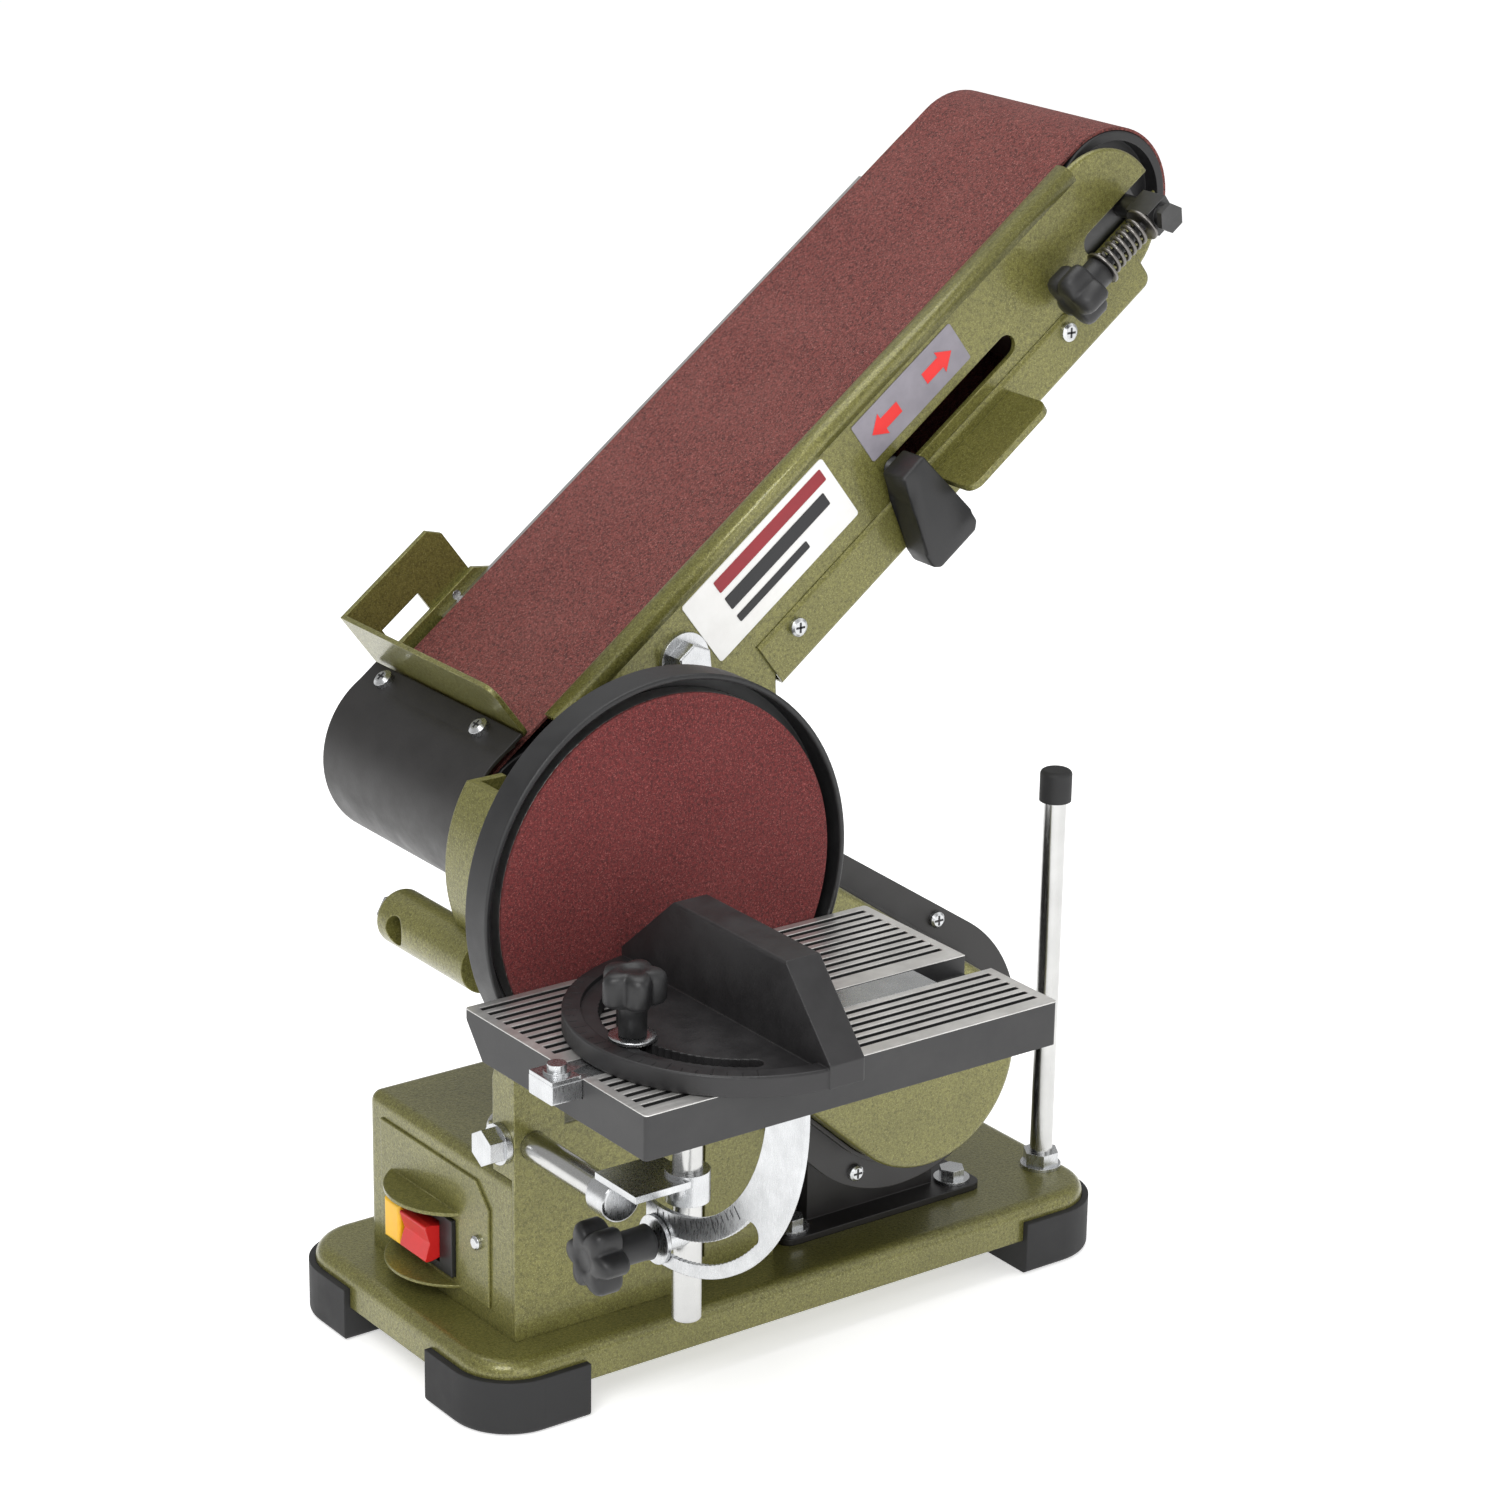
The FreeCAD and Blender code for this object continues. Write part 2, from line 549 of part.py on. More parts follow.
# ---------------------------------------------------------------- spindle frame (green casting)
frame = Piece("spindle_frame")
frame.rod("Y", ("0", "near_y - 20", "0"), "boss_r", "26")
frame.prism("Y", [("-22", "-12"), ("box_left - spindle_x + box_len + 6", BASE_TOP_S + " + box_high - 2"),
                  ("box_left - spindle_x + box_len + 6", BASE_TOP_S), ("98", BASE_TOP_S),
                  ("98", "-150"), ("22", "12")], "60", "72")
frame.box(("box_left - spindle_x + box_len + 4", "60", BASE_TOP_S), ("98", "112", BASE_TOP_S + " + 9"))
frame.prism("X", [("70", BASE_TOP_S + " + 5"), ("110", BASE_TOP_S + " + 5"), ("72", "-120"), ("66", "-120")],
            "77.4", "82.6")
frame.rod("Y", ("0", "40", "0"), "rim_r", "22")
frame.rod("Y", ("0", "38", "0"), "rim_r - rim_t", "20.5", cut=True)
frame.box(("-36", "36", "-70"), ("70", "59.9", "70"), cut=True)
frame.box(("-36", "58", "boss_r + 1"), ("70", "62.1", "70"), cut=True)
frame.box(("-70", "36", "rim_top"), ("70", "62.1", "70"), cut=True)
frame.prism("Y", [("-36", "-70"), ("70", "-70"), ("70", "-66"), ("-36", "-66")], "59", "66", cut=True)
frame.rod("Y", ("0", "near_y - 24", "0"), "bearing_r", "34", cut=True)
frame.rod("Y", ("socket_x", "30", "socket_z"), "socket_r", "60", cut=True)
for cx, cy in CAST_FEET:
    frame.rod("Z", (cx, cy, BASE_TOP_S + " - 2"), "3.2", "20", cut=True)

base_bolts = Piece("base_bolts")


def foot_bolt(x, y, seat, washer):
    """Hex bolt through a foot and the base, with its washer and nut."""
    base_bolts.rod("Z", (x, y, BASE_TOP_S + " + " + seat), washer, "1.4")
    base_bolts.hexagon("Z", (x, y, BASE_TOP_S + " + %s + 1.4" % seat), "5.8", "4.4")
    base_bolts.rod("Z", (x, y, BASE_TOP_S + " - base_wall - 7"), "3", "base_wall + 8 + " + seat)
    base_bolts.hexagon("Z", (x, y, BASE_TOP_S + " - base_wall - 5"), "5.8", "5")


for cx, cy in CAST_FEET:
    foot_bolt(cx, cy, "9", "7")
for fx in FEET_X:
    for fy in FEET_Y:
        foot_bolt(fx, fy, "3", "8")

SOCKET_END = "108"
tube = Piece("rod_socket")
tube.rod("Y", ("socket_x", "44", "socket_z"), "socket_r", SOCKET_END + " - 44")
tube.soften("2", lambda e: at_height(e, "y", number(SOCKET_END + " + face_y")) or (
    at_height(e, "y", 108)))
tube.rod("X", ("socket_x - 20", "94", "socket_z"), "rod_r + running", "40", cut=True)
tube.rod("Y", ("socket_x", "100", "socket_z"), "4.05", "12", cut=True)
base_bolts.rod("Y", ("socket_x", "101", "socket_z"), "4", "8")
base_bolts.hexagon("Y", ("socket_x", "108.2", "socket_z"), "7.5", "5.5")

# ---------------------------------------------------------------- disc, spindle, drive
abrasive = Piece("abrasive_disc")
abrasive.rod("Y", ("0", "0", "0"), "disc_r", "abrasive_t")
disc = Piece("disc_plate")
disc.rod("Y", ("0", "abrasive_t", "0"), "disc_r", "disc_t")
disc.rod("Y", ("0", "abrasive_t + disc_t", "0"), "15", "13")
disc.rod("Y", ("0", "abrasive_t + 3", "0"), "shaft_r", "30", cut=True)
disc.rod("Z", ("0", "abrasive_t + disc_t + 7", "8"), "2.5", "10", cut=True)

shaft = Piece("spindle")
shaft.rod("Y", ("0", "abrasive_t + 3", "0"), "shaft_r", "%s - 8" % FAR_Y)
shaft.soften("0.8", lambda e: e.Curve.TypeId == "Part::GeomCircle")

bearings = Piece("spindle_bearings")
for by in ("near_y - 18", "near_y - 6"):
    bearings.rod("Y", ("0", by, "0"), "bearing_r", "10")
    bearings.rod("Y", ("0", by + " - 1", "0"), "shaft_r + running", "12", cut=True)


def toothed(piece, radius, teeth):
    """Timing pulley with flanges; teeth are grooves along Y."""
    piece.rod("Y", ("0", "pulley_y + 1.5", "0"), radius, "pulley_wid - 3")
    for n in range(teeth):
        turn = 360.0 * n / teeth
        piece.rod("Y", ("(%s) * cos(%gdeg)" % (radius, turn), "pulley_y + 1.5",
                        "(%s) * sin(%gdeg)" % (radius, turn)), "1.1", "pulley_wid - 3", cut=True)
    piece.rod("Y", ("0", "pulley_y", "0"), radius + " + 1.6", "1.5")
    piece.rod("Y", ("0", "pulley_y + pulley_wid - 1.5", "0"), radius + " + 1.6", "1.5")


driven = Piece("driven_pulley")
toothed(driven, "pulley_big", 24)
driven.rod("Y", ("0", "pulley_y - 2", "0"), "shaft_r", "pulley_wid + 4", cut=True)

motor_pulley = Piece("motor_pulley", "motor")
toothed(motor_pulley, "pulley_small", 16)
motor_pulley.rod("Y", ("0", "pulley_y - 2", "0"), "6", "pulley_wid + 4", cut=True)

drive_belt = Piece("drive_belt")
teardrop(drive_belt, "pulley_big + 0.3 + drive_t", "pulley_small + 0.3 + drive_t",
         "pulley_y + 2", "pulley_y + pulley_wid - 2")
teardrop(drive_belt, "pulley_big + 0.3", "pulley_small + 0.3", "pulley_y", "pulley_y + pulley_wid",
         cut=True)

rotor = Piece("motor_shaft", "motor")
rotor.rod("Y", ("0", "pulley_y - 2", "0"), "6", "motor_y + motor_len - 14 - pulley_y")
rotor.rod("Y", ("0", "motor_y + 24", "0"), "27", "60")
rotor.rod("Y", ("0", "motor_y + motor_len - 24", "0"), "38", "2")
for n in range(8):
    a = 45.0 * n
    rotor.rod("Y", ("30 * cos(%gdeg)" % a, "motor_y + motor_len - 22", "30 * sin(%gdeg)" % a), "4", "7")

housing = Piece("motor_barrel", "motor", export=False)
housing.rod("Y", ("0", "motor_y", "0"), "motor_r + 2", "12")
housing.rod("Y", ("0", "motor_y + 12", "0"), "motor_r", "motor_len - 24")
housing.rod("Y", ("0", "motor_y + motor_len - 12", "0"), "motor_r + 2", "12")
housing.soften("5", lambda e: e.Curve.TypeId == "Part::GeomCircle" and (
    at_height(e, "y", number("motor_y + motor_len")) or at_height(e, "y", number("motor_y"))))
housing.rod("Y", ("0", "motor_y + 3", "0"), "motor_r - 3", "motor_len - 6", cut=True)
housing.rod("Y", ("0", "motor_y - 1", "0"), "6.5", "6", cut=True)
for n in range(12):
    a = 30.0 * n
    housing.rod("Y", ("34 * cos(%gdeg)" % a, "motor_y + motor_len - 5", "34 * sin(%gdeg)" % a),
                "4", "8", cut=True)

FOOT_Z = "(%s - motor_dz)" % BASE_TOP_S
foot = Piece("motor_cradle", "motor", export=False)
foot.box(("-54", "motor_y + 4", FOOT_Z), ("54", "motor_y + motor_len - 4", FOOT_Z + " + 3"))
foot.soften("6", lambda e: along(e, "z"))
foot.box(("-34", "motor_y + 16", FOOT_Z + " + 2"), ("34", "motor_y + 22", "-38"))
foot.box(("-34", "motor_y + motor_len - 22", FOOT_Z + " + 2"), ("34", "motor_y + motor_len - 16", "-38"))
foot.box(("-34", "motor_y + 16", FOOT_Z + " + 2"), ("-31", "motor_y + motor_len - 16", "-56"))
foot.box(("31", "motor_y + 16", FOOT_Z + " + 2"), ("34", "motor_y + motor_len - 16", "-56"))
foot.rod("Y", ("0", "motor_y", "0"), "motor_r", "motor_len", cut=True)
for fx in ("-44", "44"):
    for fy in FEET_Y:
        foot.rod("Z", (fx, fy, FOOT_Z + " - 1"), "3.2", "6", cut=True)

combine("Fuse", "motor_housing", housing, foot)

cover = Piece("belt_cover")
teardrop(cover, "cover_disc", "cover_motor", "cover_y", BACK_Y)
cover.soften("3", lambda e: at_height(e, "y", number("cover_y")) and e.Length > 60)
teardrop(cover, "cover_disc - sheet_t", "cover_motor - sheet_t", "cover_y + sheet_t", BACK_Y + " + 1",
         cut=True)
cover.rod("Y", ("0", "cover_y - 1", "0"), "27", "5", cut=True)

back = Piece("belt_backplate")
teardrop(back, "back_disc", "back_motor", BACK_Y, BACK_Y + " + plate_t")
teardrop(back, "cover_disc + 2.2", "cover_motor + 2.2", BACK_Y + " - 5", BACK_Y)
teardrop(back, "cover_disc + 0.3", "cover_motor + 0.3", BACK_Y + " - 6", BACK_Y, cut=True)
back.rod("Y", ("0", BACK_Y + " - 1", "0"), "shaft_r + 3", "5", cut=True)
back.rod("Y", ("motor_dx", BACK_Y + " - 1", "motor_dz"), "10", "5", cut=True)
SPOTS = (("motor_dx - 53", "motor_dz - 26"), ("motor_dx - 24", "motor_dz - 50"),
         ("motor_dx + 16", "motor_dz + 57"), ("-30", "-28"))
for px, pz in SPOTS:
    back.rod("Y", (px, BACK_Y + " - 1", pz), "2.1", "5", cut=True)
for px, pz in SPOTS:
    at = ("spindle_x + " + px, "face_y + " + BACK_Y, "spindle_z + " + pz)
    screw(cover_screws, "Y", at, "3.6", "1.6", "1.9", "plate_t - 0.2")

guard = Piece("disc_guard")
guard.rod("Y", ("0", "-guard_lip", "0"), GUARD_R, "guard_deep")
guard.rod("Y", ("0", "-guard_lip - 1", "0"), "disc_r + guard_gap", "guard_deep - guard_t + 1", cut=True)
guard.rod("Y", ("0", "guard_deep - guard_lip - 0.1", "0"), "31", "cover_y - guard_deep + guard_lip + 0.1")
guard.rod("Y", ("0", "5", "0"), "27", "40", cut=True)
guard.soften("0.9", lambda e: at_height(e, "y", -number("guard_lip")))

# ---------------------------------------------------------------- support post
post = Piece("support_post")
post.rod("Z", ("post_x", "post_y", BASE_TOP_S + " - 10"), "post_r", "%s - 4 - (%s - 10)" % (CAP_TOP, BASE_TOP_S))
cap = Piece("post_cap")
cap.rod("Z", ("post_x", "post_y", CAP_TOP + " - 14"), "cap_r", "14")
cap.soften("2", lambda e: at_height(e, "z", number(CAP_TOP)))
cap.rod("Z", ("post_x", "post_y", CAP_TOP + " - 15"), "post_r", "11", cut=True)
base_bolts.rod("Z", ("post_x", "post_y", BASE_TOP_S), "9", "1.6")
base_bolts.hexagon("Z", ("post_x", "post_y", BASE_TOP_S + " + 1.6"), "8.2", "6")
base_bolts.hexagon("Z", ("post_x", "post_y", BASE_TOP_S + " - base_wall - 6"), "8.2", "6")
base_bolts.rod("Z", ("post_x", "post_y", BASE_TOP_S + " - 12"), "post_r", "24", cut=True)

# ---------------------------------------------------------------- belt arm
near = Piece("arm_near_plate", "arm")
near.prism("Y", [("27", "arm_top"), ("arm_end", "arm_top"), ("arm_end", "arm_low + 3"),
                 ("112", "arm_low"), ("105", "arm_low - 10"), ("60", "arm_low - 6"), ("0", "arm_low"),
                 ("-10", "0")], "near_y", NEAR_IN)
near.rod("Y", ("arm_end", "near_y", "4"), "arm_top - 4", "arm_t")
near.rod("Y", ("0", "near_y - 2", "0"), "boss_r + 6", "arm_t + 4")
near.box(("27", NEAR_IN + " - 0.5", "arm_top - arm_t"), ("arm_end", "belt_y - 3", "arm_top"))
near.soften("2", lambda e: along(e, "x") and at_height(e, "z", number("arm_top")) and (
    e.Length > 100) and abs(e.Vertexes[0].Y - number("near_y")) < 0.01)
near.rod("Y", ("0", "near_y - 5", "0"), "boss_r + running", "20", cut=True)
near.rod("Y", ("slot_from", "near_y - 5", "slot_h"), "lever_r + running", "12", cut=True)
near.rod("Y", ("slot_to", "near_y - 5", "slot_h"), "lever_r + running", "12", cut=True)
near.box(("slot_from", "near_y - 5", "slot_h - lever_r - running"),
         ("slot_to", "near_y + 7", "slot_h + lever_r + running"), cut=True)
near.box((DRUM_STEP + " - 22", "near_y - 5", "-axle_r - 0.6"), ("arm_end + 60", "near_y + 7", "axle_r + 0.6"),
         cut=True)
near.rod("Y", (DRUM_STEP + " - 22", "near_y - 5", "0"), "axle_r + 0.6", "12", cut=True)
near.rod("Y", ("84", "near_y - 5", "10"), "4.1", "12", cut=True)
PAN_SCREWS = ("131", "305")
for s in PAN_SCREWS:
    near.rod("Y", (s, "near_y - 5", "-20"), "1.9", "12", cut=True)

far = Piece("arm_far_plate", "arm")
far.prism("Y", [("20", "arm_top"), ("72", "arm_top"), ("80", "far_top"), ("arm_end", "far_top"),
                ("arm_end", "-far_top"), ("112", "arm_low"), ("60", "arm_low - 4"),
                ("-12", "arm_low - 2"), ("-12", "10")], FAR_Y, FAR_Y + " + arm_t")
far.rod("Y", ("arm_end", FAR_Y, "0"), "far_top", "arm_t")
far.rod("Y", ("0", FAR_Y + " - 5", "0"), "shaft_r + 3", "12", cut=True)
far.box((DRUM_STEP + " - 22", FAR_Y + " - 5", "-axle_r - 0.6"), ("arm_end + 60", FAR_Y + " + 7", "axle_r + 0.6"),
        cut=True)
for s in PAN_SCREWS:
    far.rod("Y", (s, FAR_Y + " - 5", "-20"), "1.9", "12", cut=True)
far.rod("Y", ("59", FAR_Y + " - 5", "31.5"), "2.1", "12", cut=True)

platen = Piece("platen", "arm")
platen.box(("48", NEAR_IN, BELT_IN + " - 3.3"), ("318", FAR_Y, BELT_IN + " - 0.5"))
for s in ("60", "284"):
    platen.box((s, NEAR_IN, "-20"), (s + " + 4", FAR_Y, BELT_IN + " - 1"))
platen.rod("Y", ("84", NEAR_IN, "10"), "8", "14")
platen.box(("62", NEAR_IN, "6"), ("84", NEAR_IN + " + 14", "14"))
platen.rod("Y", ("84", NEAR_IN + " - 1", "10"), "4.1", "14", cut=True)

arm_bolt = Piece("arm_bolt", "arm")
arm_bolt.hexagon("Y", ("84", "near_y - 9.5", "10"), "8.6", "7.5")
arm_bolt.rod("Y", ("84", "near_y - 2", "10"), "11.5", "2")
arm_bolt.rod("Y", ("84", "near_y - 1", "10"), "4", "14")
arm_bolt.soften("0.8", lambda e: at_height(e, "y", number("near_y - 9.5")))

pan = Piece("arm_lower_cover", "arm")
pan.box(("pan_from", "near_y - sheet_t - 0.1", "pan_low"), ("pan_to", FAR_Y + " + arm_t + sheet_t + 0.1", "-13"))
pan.soften("5", lambda e: along(e, "y") and at_height(e, "x", number("pan_to")))
pan.soften("2.2", lambda e: along(e, "x") and at_height(e, "z", number("pan_low")))
pan.box(("pan_from - 1", "near_y - 0.1", "pan_low + sheet_t"), ("pan_to + 1", FAR_Y + " + arm_t + 0.1", "0"), cut=True)
pan.box(("slot_to + 30", "near_y - 10", "-13.5"), ("pan_to + 1", FAR_Y + " + 20", "0"), cut=True)
for s in PAN_SCREWS:
    pan.rod("Y", (s, "near_y - 5", "-20"), "1.9", "160", cut=True)

arm_screws = Piece("arm_screws", "arm")
for s in PAN_SCREWS:
    screw(arm_screws, "Y", (s, "near_y - sheet_t - 0.1", "-20"), "4", "2", "1.7", "5")
    arm_screws.rod("Y", (s, FAR_Y + " - 1", "-20"), "1.7", "arm_t + sheet_t + 2")
    arm_screws.rod("Y", (s, FAR_Y + " + arm_t + sheet_t + 0.1", "-20"), "4", "2")

tab = Piece("arm_rest_tab", "arm")
TAB_IN = "(near_y - sheet_t - 0.1)"
tab.box(("tab_from", TAB_IN + " - tab_out", "tab_h"), ("tab_from + tab_len", TAB_IN, "tab_h + tab_t"))
tab.soften("6", lambda e: along(e, "z") and abs(e.Vertexes[0].Y - number(TAB_IN + " - tab_out")) < 0.01)
tab.box(("tab_from", TAB_IN + " - sheet_t", "pan_low + 3"), ("tab_from + tab_len", TAB_IN, "tab_h + 1"))

name_plate = Piece("name_plate", "arm")
name_plate.box(("96", "near_y - 0.6", "-5"), ("182", "near_y", "28"))
name_plate.soften("1.5", lambda e: along(e, "y"))
label = Piece("arrow_label", "arm")
label.box(("200", "near_y - 0.5", "7"), ("262", "near_y", "27"))
label.soften("1", lambda e: along(e, "y"))
for s0, d in (("206", "-"), ("256", "+")):
    label.prism("Y", [("%s %s 0" % (s0, d), "17"),
                      ("%s %s -7" % (s0, d), "23"), ("%s %s -7" % (s0, d), "20"),
                      ("%s %s -17" % (s0, d), "20"), ("%s %s -17" % (s0, d), "14"),
                      ("%s %s -7" % (s0, d), "14"), ("%s %s -7" % (s0, d), "11")],
                "near_y - 0.7", "near_y - 0.4")

belt = Piece("sanding_belt", "arm")


def loop(piece, radius, lo, hi, cut=False):
    """Round-ended solid about both drum axes."""
    length = "(%s) - (%s)" % (hi, lo)
    piece.rod("Y", ("0", lo, "0"), radius, length, cut)
    piece.rod("Y", (DRUM_STEP, lo, "0"), radius, length, cut)
    piece.box(("0", lo, "-" + radius), (DRUM_STEP, hi, radius), cut)


loop(belt, BELT_OUT, "belt_y", "belt_y + belt_wide")
loop(belt, BELT_IN, "belt_y - 1", "belt_y + belt_wide + 1", cut=True)


def drum(piece, at_s, bore):
    """Hollow drum with webs at both ends and a hub."""
    piece.rod("Y", (at_s, "belt_y - 1", "0"), "drum_r", "belt_wide + 2")
    piece.soften("1", lambda e: e.Curve.TypeId == "Part::GeomCircle")
    for y0 in ("belt_y - 2", "belt_y + belt_wide - 6"):
        piece.rod("Y", (at_s, y0, "0"), "drum_r - 4", "8.5", cut=True)
    piece.rod("Y", (at_s, "belt_y - 1", "0"), "11", "belt_wide + 2")
    piece.rod("Y", (at_s, "belt_y - 5", "0"), bore, "belt_wide + 10", cut=True)


drive_drum = Piece("drive_drum", "arm")
drum(drive_drum, "0", "shaft_r")
idler = Piece("idler_drum", "arm")
drum(idler, DRUM_STEP, "axle_r + running")

axle = Piece("idler_axle", "arm")
axle.rod("Y", (DRUM_STEP, "track_y - 10", "0"), "axle_r", FAR_Y + " + 2 - (track_y - 10)")
axle.hexagon("Y", (DRUM_STEP, "track_y - 12", "0"), "6.4", "3")

yoke = Piece("idler_yoke", "arm")
for y0 in (NEAR_IN + " + 1", FAR_Y + " - 3.2"):
    yoke.box(("312", y0, "-9"), (DRUM_STEP + " + 7", y0 + " + 2.2", "9"))
yoke.box(("312", NEAR_IN + " + 1", "-9"), ("315", FAR_Y + " - 1", "9"))
yoke.rod("Y", (DRUM_STEP, NEAR_IN + " - 5", "0"), "axle_r", "150", cut=True)

axle.box((DRUM_STEP + " - 6", "track_y - 6", "-6"), (DRUM_STEP + " + 6", "track_y + 8", "6"))
axle.rod("X", (DRUM_STEP + " - 12", "track_y", "0"), "2.6", "12 - 5.2", cut=True)

KNOB_S = "(%s - track_knob)" % DRUM_STEP
tracking = Piece("tracking_knob", "arm")
lobed_knob(tracking, "X", (KNOB_S, "track_y", "0"), "13.5", "4.2", "12", 5)
tracking.rod("X", (KNOB_S + " + 11", "track_y", "0"), "7", "9")
tracking.cone("X", (KNOB_S + " - 3", "track_y", "0"), "6", "9", "3.2")
tracking.rod("X", (KNOB_S + " + 19", "track_y", "0"), "2.5", "track_knob - 19 - 5.5")

spring = Piece("tracking_spring", "arm")
COILS = 7
COIL_FIRST = "(%s + 22.9)" % KNOB_S
COIL_LAST = "(%s - 8.8)" % DRUM_STEP
for n in range(COILS):
    spring.primitive("Torus", {"Radius1": "5.2", "Radius2": "1.1"},
                     ("%s + (%s - %s) * %d / %d" % (COIL_FIRST, COIL_LAST, COIL_FIRST, n, COILS - 1),
                      "track_y", "0"), "X")
spring.box((COIL_FIRST, "track_y - 6", "-0.5"), (COIL_LAST, "track_y - 5", "0.5"))
for s in (COIL_FIRST + " - 2.6", COIL_LAST + " + 1.2"):
    spring.rod("X", (s, "track_y", "0"), "8", "1.4")
    spring.rod("X", (s + " - 1", "track_y", "0"), "3", "4", cut=True)

lever = Piece("tension_lever", "arm")
LEVER_Y = "(near_y - 18)"
lever.prism("Y", [("slot_from - 8", "slot_h + 6"), ("slot_from + 8", "slot_h + 6"),
                  ("slot_from + 9", "slot_h - 6"), ("slot_from + 12", "slot_h - 34"),
                  ("slot_from + 6", "slot_h - 40"), ("slot_from - 16", "slot_h - 40"),
                  ("slot_from - 19", "slot_h - 34"), ("slot_from - 9", "slot_h - 8")],
            LEVER_Y, LEVER_Y + " + 15")
lever.soften("1.6", lambda e: at_height(e, "y", number(LEVER_Y)))
lever.rod("Y", ("slot_from", LEVER_Y + " + 10", "slot_h"), "lever_r", "70")
lever.rod("Y", ("slot_from + 3", NEAR_IN + " + 24", "slot_h"), "11", "12")

drum_cover = Piece("drum_cover", "arm")
CY0 = "(near_y + arm_t + 5)"
CY1 = "(%s - 0.1)" % FAR_Y
drum_cover.rod("Y", ("0", CY0, "0"), "cover_r", CY1 + " - " + CY0)
drum_cover.rod("Y", ("0", CY0 + " - 1", "0"), "cover_r - sheet_t", CY1 + " + 5 - " + CY0, cut=True)
drum_cover.box(("9", CY0 + " - 1", "-60"), ("60", CY1 + " + 1", "60"), cut=True)
drum_cover.box(("-4", CY0, "cover_r - sheet_t - 0.2"), ("14", CY1, "cover_r - 0.2"))
DRUM_SCREWS = ("108", "181")
for y in DRUM_SCREWS:
    drum_cover.rod("Z", ("8", y, "25"), "1.9", "20", cut=True)
for y in DRUM_SCREWS:
    arm_screws.rod("Z", ("8", y, "cover_r - 0.2"), "4.2", "2.2")
    arm_screws.cone("Z", ("8", y, "cover_r + 2"), "4.2", "2.6", "1.2")
    arm_screws.rod("Z", ("8", y, "cover_r - 3"), "1.7", "4")

stop = Piece("work_stop", "arm")
STOP_S = "15"
STOP_Y = "(%s + arm_t)" % FAR_Y
stop.box((STOP_S, "belt_y - 4", BELT_OUT + " + 1"), (STOP_S + " + plate_t", STOP_Y + " + plate_t", BELT_OUT + " + 31"))
stop.soften("6", lambda e: along(e, "x") and abs(e.Vertexes[0].Y - number("belt_y - 4")) < 0.01)
stop.box((STOP_S, STOP_Y, "20"), (STOP_S + " + 56", STOP_Y + " + plate_t", BELT_OUT + " + 31"))
stop.prism("Y", [(STOP_S + " + 44", BELT_OUT + " + 40"), (STOP_S + " + 64", BELT_OUT + " + 40"),
                 (STOP_S + " + 64", BELT_OUT + " + 15")], STOP_Y + " - 1", STOP_Y + " + 6", cut=True)
stop.box((STOP_S + " + 10", STOP_Y + " - 1", BELT_OUT + " + 0.5"),
         (STOP_S + " + 32", STOP_Y + " + 6", BELT_OUT + " + 13"), cut=True)
stop.rod("Y", ("59", STOP_Y + " - 1", "31.5"), "2.3", "6", cut=True)
arm_screws.rod("Y", ("59", FAR_Y, "31.5"), "2", "arm_t + plate_t + 1.6")
arm_screws.rod("Y", ("59", STOP_Y + " + plate_t", "31.5"), "4.5", "2.4")
arm_screws.box(("54", STOP_Y + " + plate_t + 1.4", "31"), ("64", STOP_Y + " + plate_t + 4", "32"), cut=True)

# ---------------------------------------------------------------- table carriage
rod = Piece("table_rod")
rod.rod("Y", ("rod_x", "-6", "rod_z"), "rod_r", "rod_back + 6")
rod.soften("0.8", lambda e: e.Curve.TypeId == "Part::GeomCircle")

link = Piece("rod_link")
link.rod("Y", ("rod_x", "-9", "rod_z"), "collar_r", "12")
link.soften("1.5", lambda e: at_height(e, "y", -9))
link.box(("rod_x - 6", "pivot_y - 8", "rod_z + rod_r + 1.4"), ("upright_x", "1", "rod_z + rod_r + 4.4"))
link.rod("Z", ("upright_x", "pivot_y", "rod_z - 1"), "collar_r", "13")
link.rod("Y", ("rod_x", "-6", "rod_z"), "rod_r", "20", cut=True)
link.rod("Z", ("upright_x", "pivot_y", "rod_z - 20"), "rod_r", "60", cut=True)

upright = Piece("pivot_post")
upright.rod("Z", ("upright_x", "pivot_y", "-176"), "rod_r", "176 + pivot_z + 4.7")
upright.soften("1", lambda e: at_height(e, "z", -176))
upright.rod("X", ("upright_x - 8", "pivot_y", "pivot_z"), "3.05", "16", cut=True)
upright.rod("X", ("upright_x - 8", "pivot_y", LOCK_Z), "stud_r + running", "16", cut=True)

spacers = Piece("pivot_washers")
GAP_X = "(leaf_x + plate_t + 0.4)"
for z in ("pivot_z", LOCK_Z):
    spacers.rod("X", (GAP_X, "pivot_y", z), "6", "upright_x - 0.5 - " + GAP_X)
spacers.rod("Z", ("upright_x", "pivot_y", "-180"), "rod_r + 0.02", "200", cut=True)
spacers.rod("X", ("leaf_x - 2", "pivot_y", LOCK_Z), "10", "1.6")
spacers.rod("X", ("leaf_x - 5", "pivot_y", "pivot_z"), "3.05", "30", cut=True)
spacers.rod("X", ("leaf_x - 5", "pivot_y", LOCK_Z), "stud_r + 0.1", "30", cut=True)

tilt_pin = Piece("tilt_pin")
tilt_pin.rod("X", ("leaf_x - 4", "pivot_y", "pivot_z"), "3", "upright_x + rod_r + 4 - (leaf_x - 4)")
tilt_pin.rod("X", ("leaf_x - 4", "pivot_y", "pivot_z"), "5", "3.6")

lock = Piece("table_lock_knob")
KNOB_X = "(leaf_x - 33)"
lobed_knob(lock, "X", (KNOB_X, "pivot_y", LOCK_Z), "15", "4.8", "13.5", 6)
lock.rod("X", (KNOB_X + " + 13", "pivot_y", LOCK_Z), "7.2", "17.4")
lock.cone("X", (KNOB_X + " - 2", "pivot_y", LOCK_Z), "7", "10", "2.2")
lock.rod("X", (KNOB_X + " + 26", "pivot_y", LOCK_Z), "stud_r", "24")

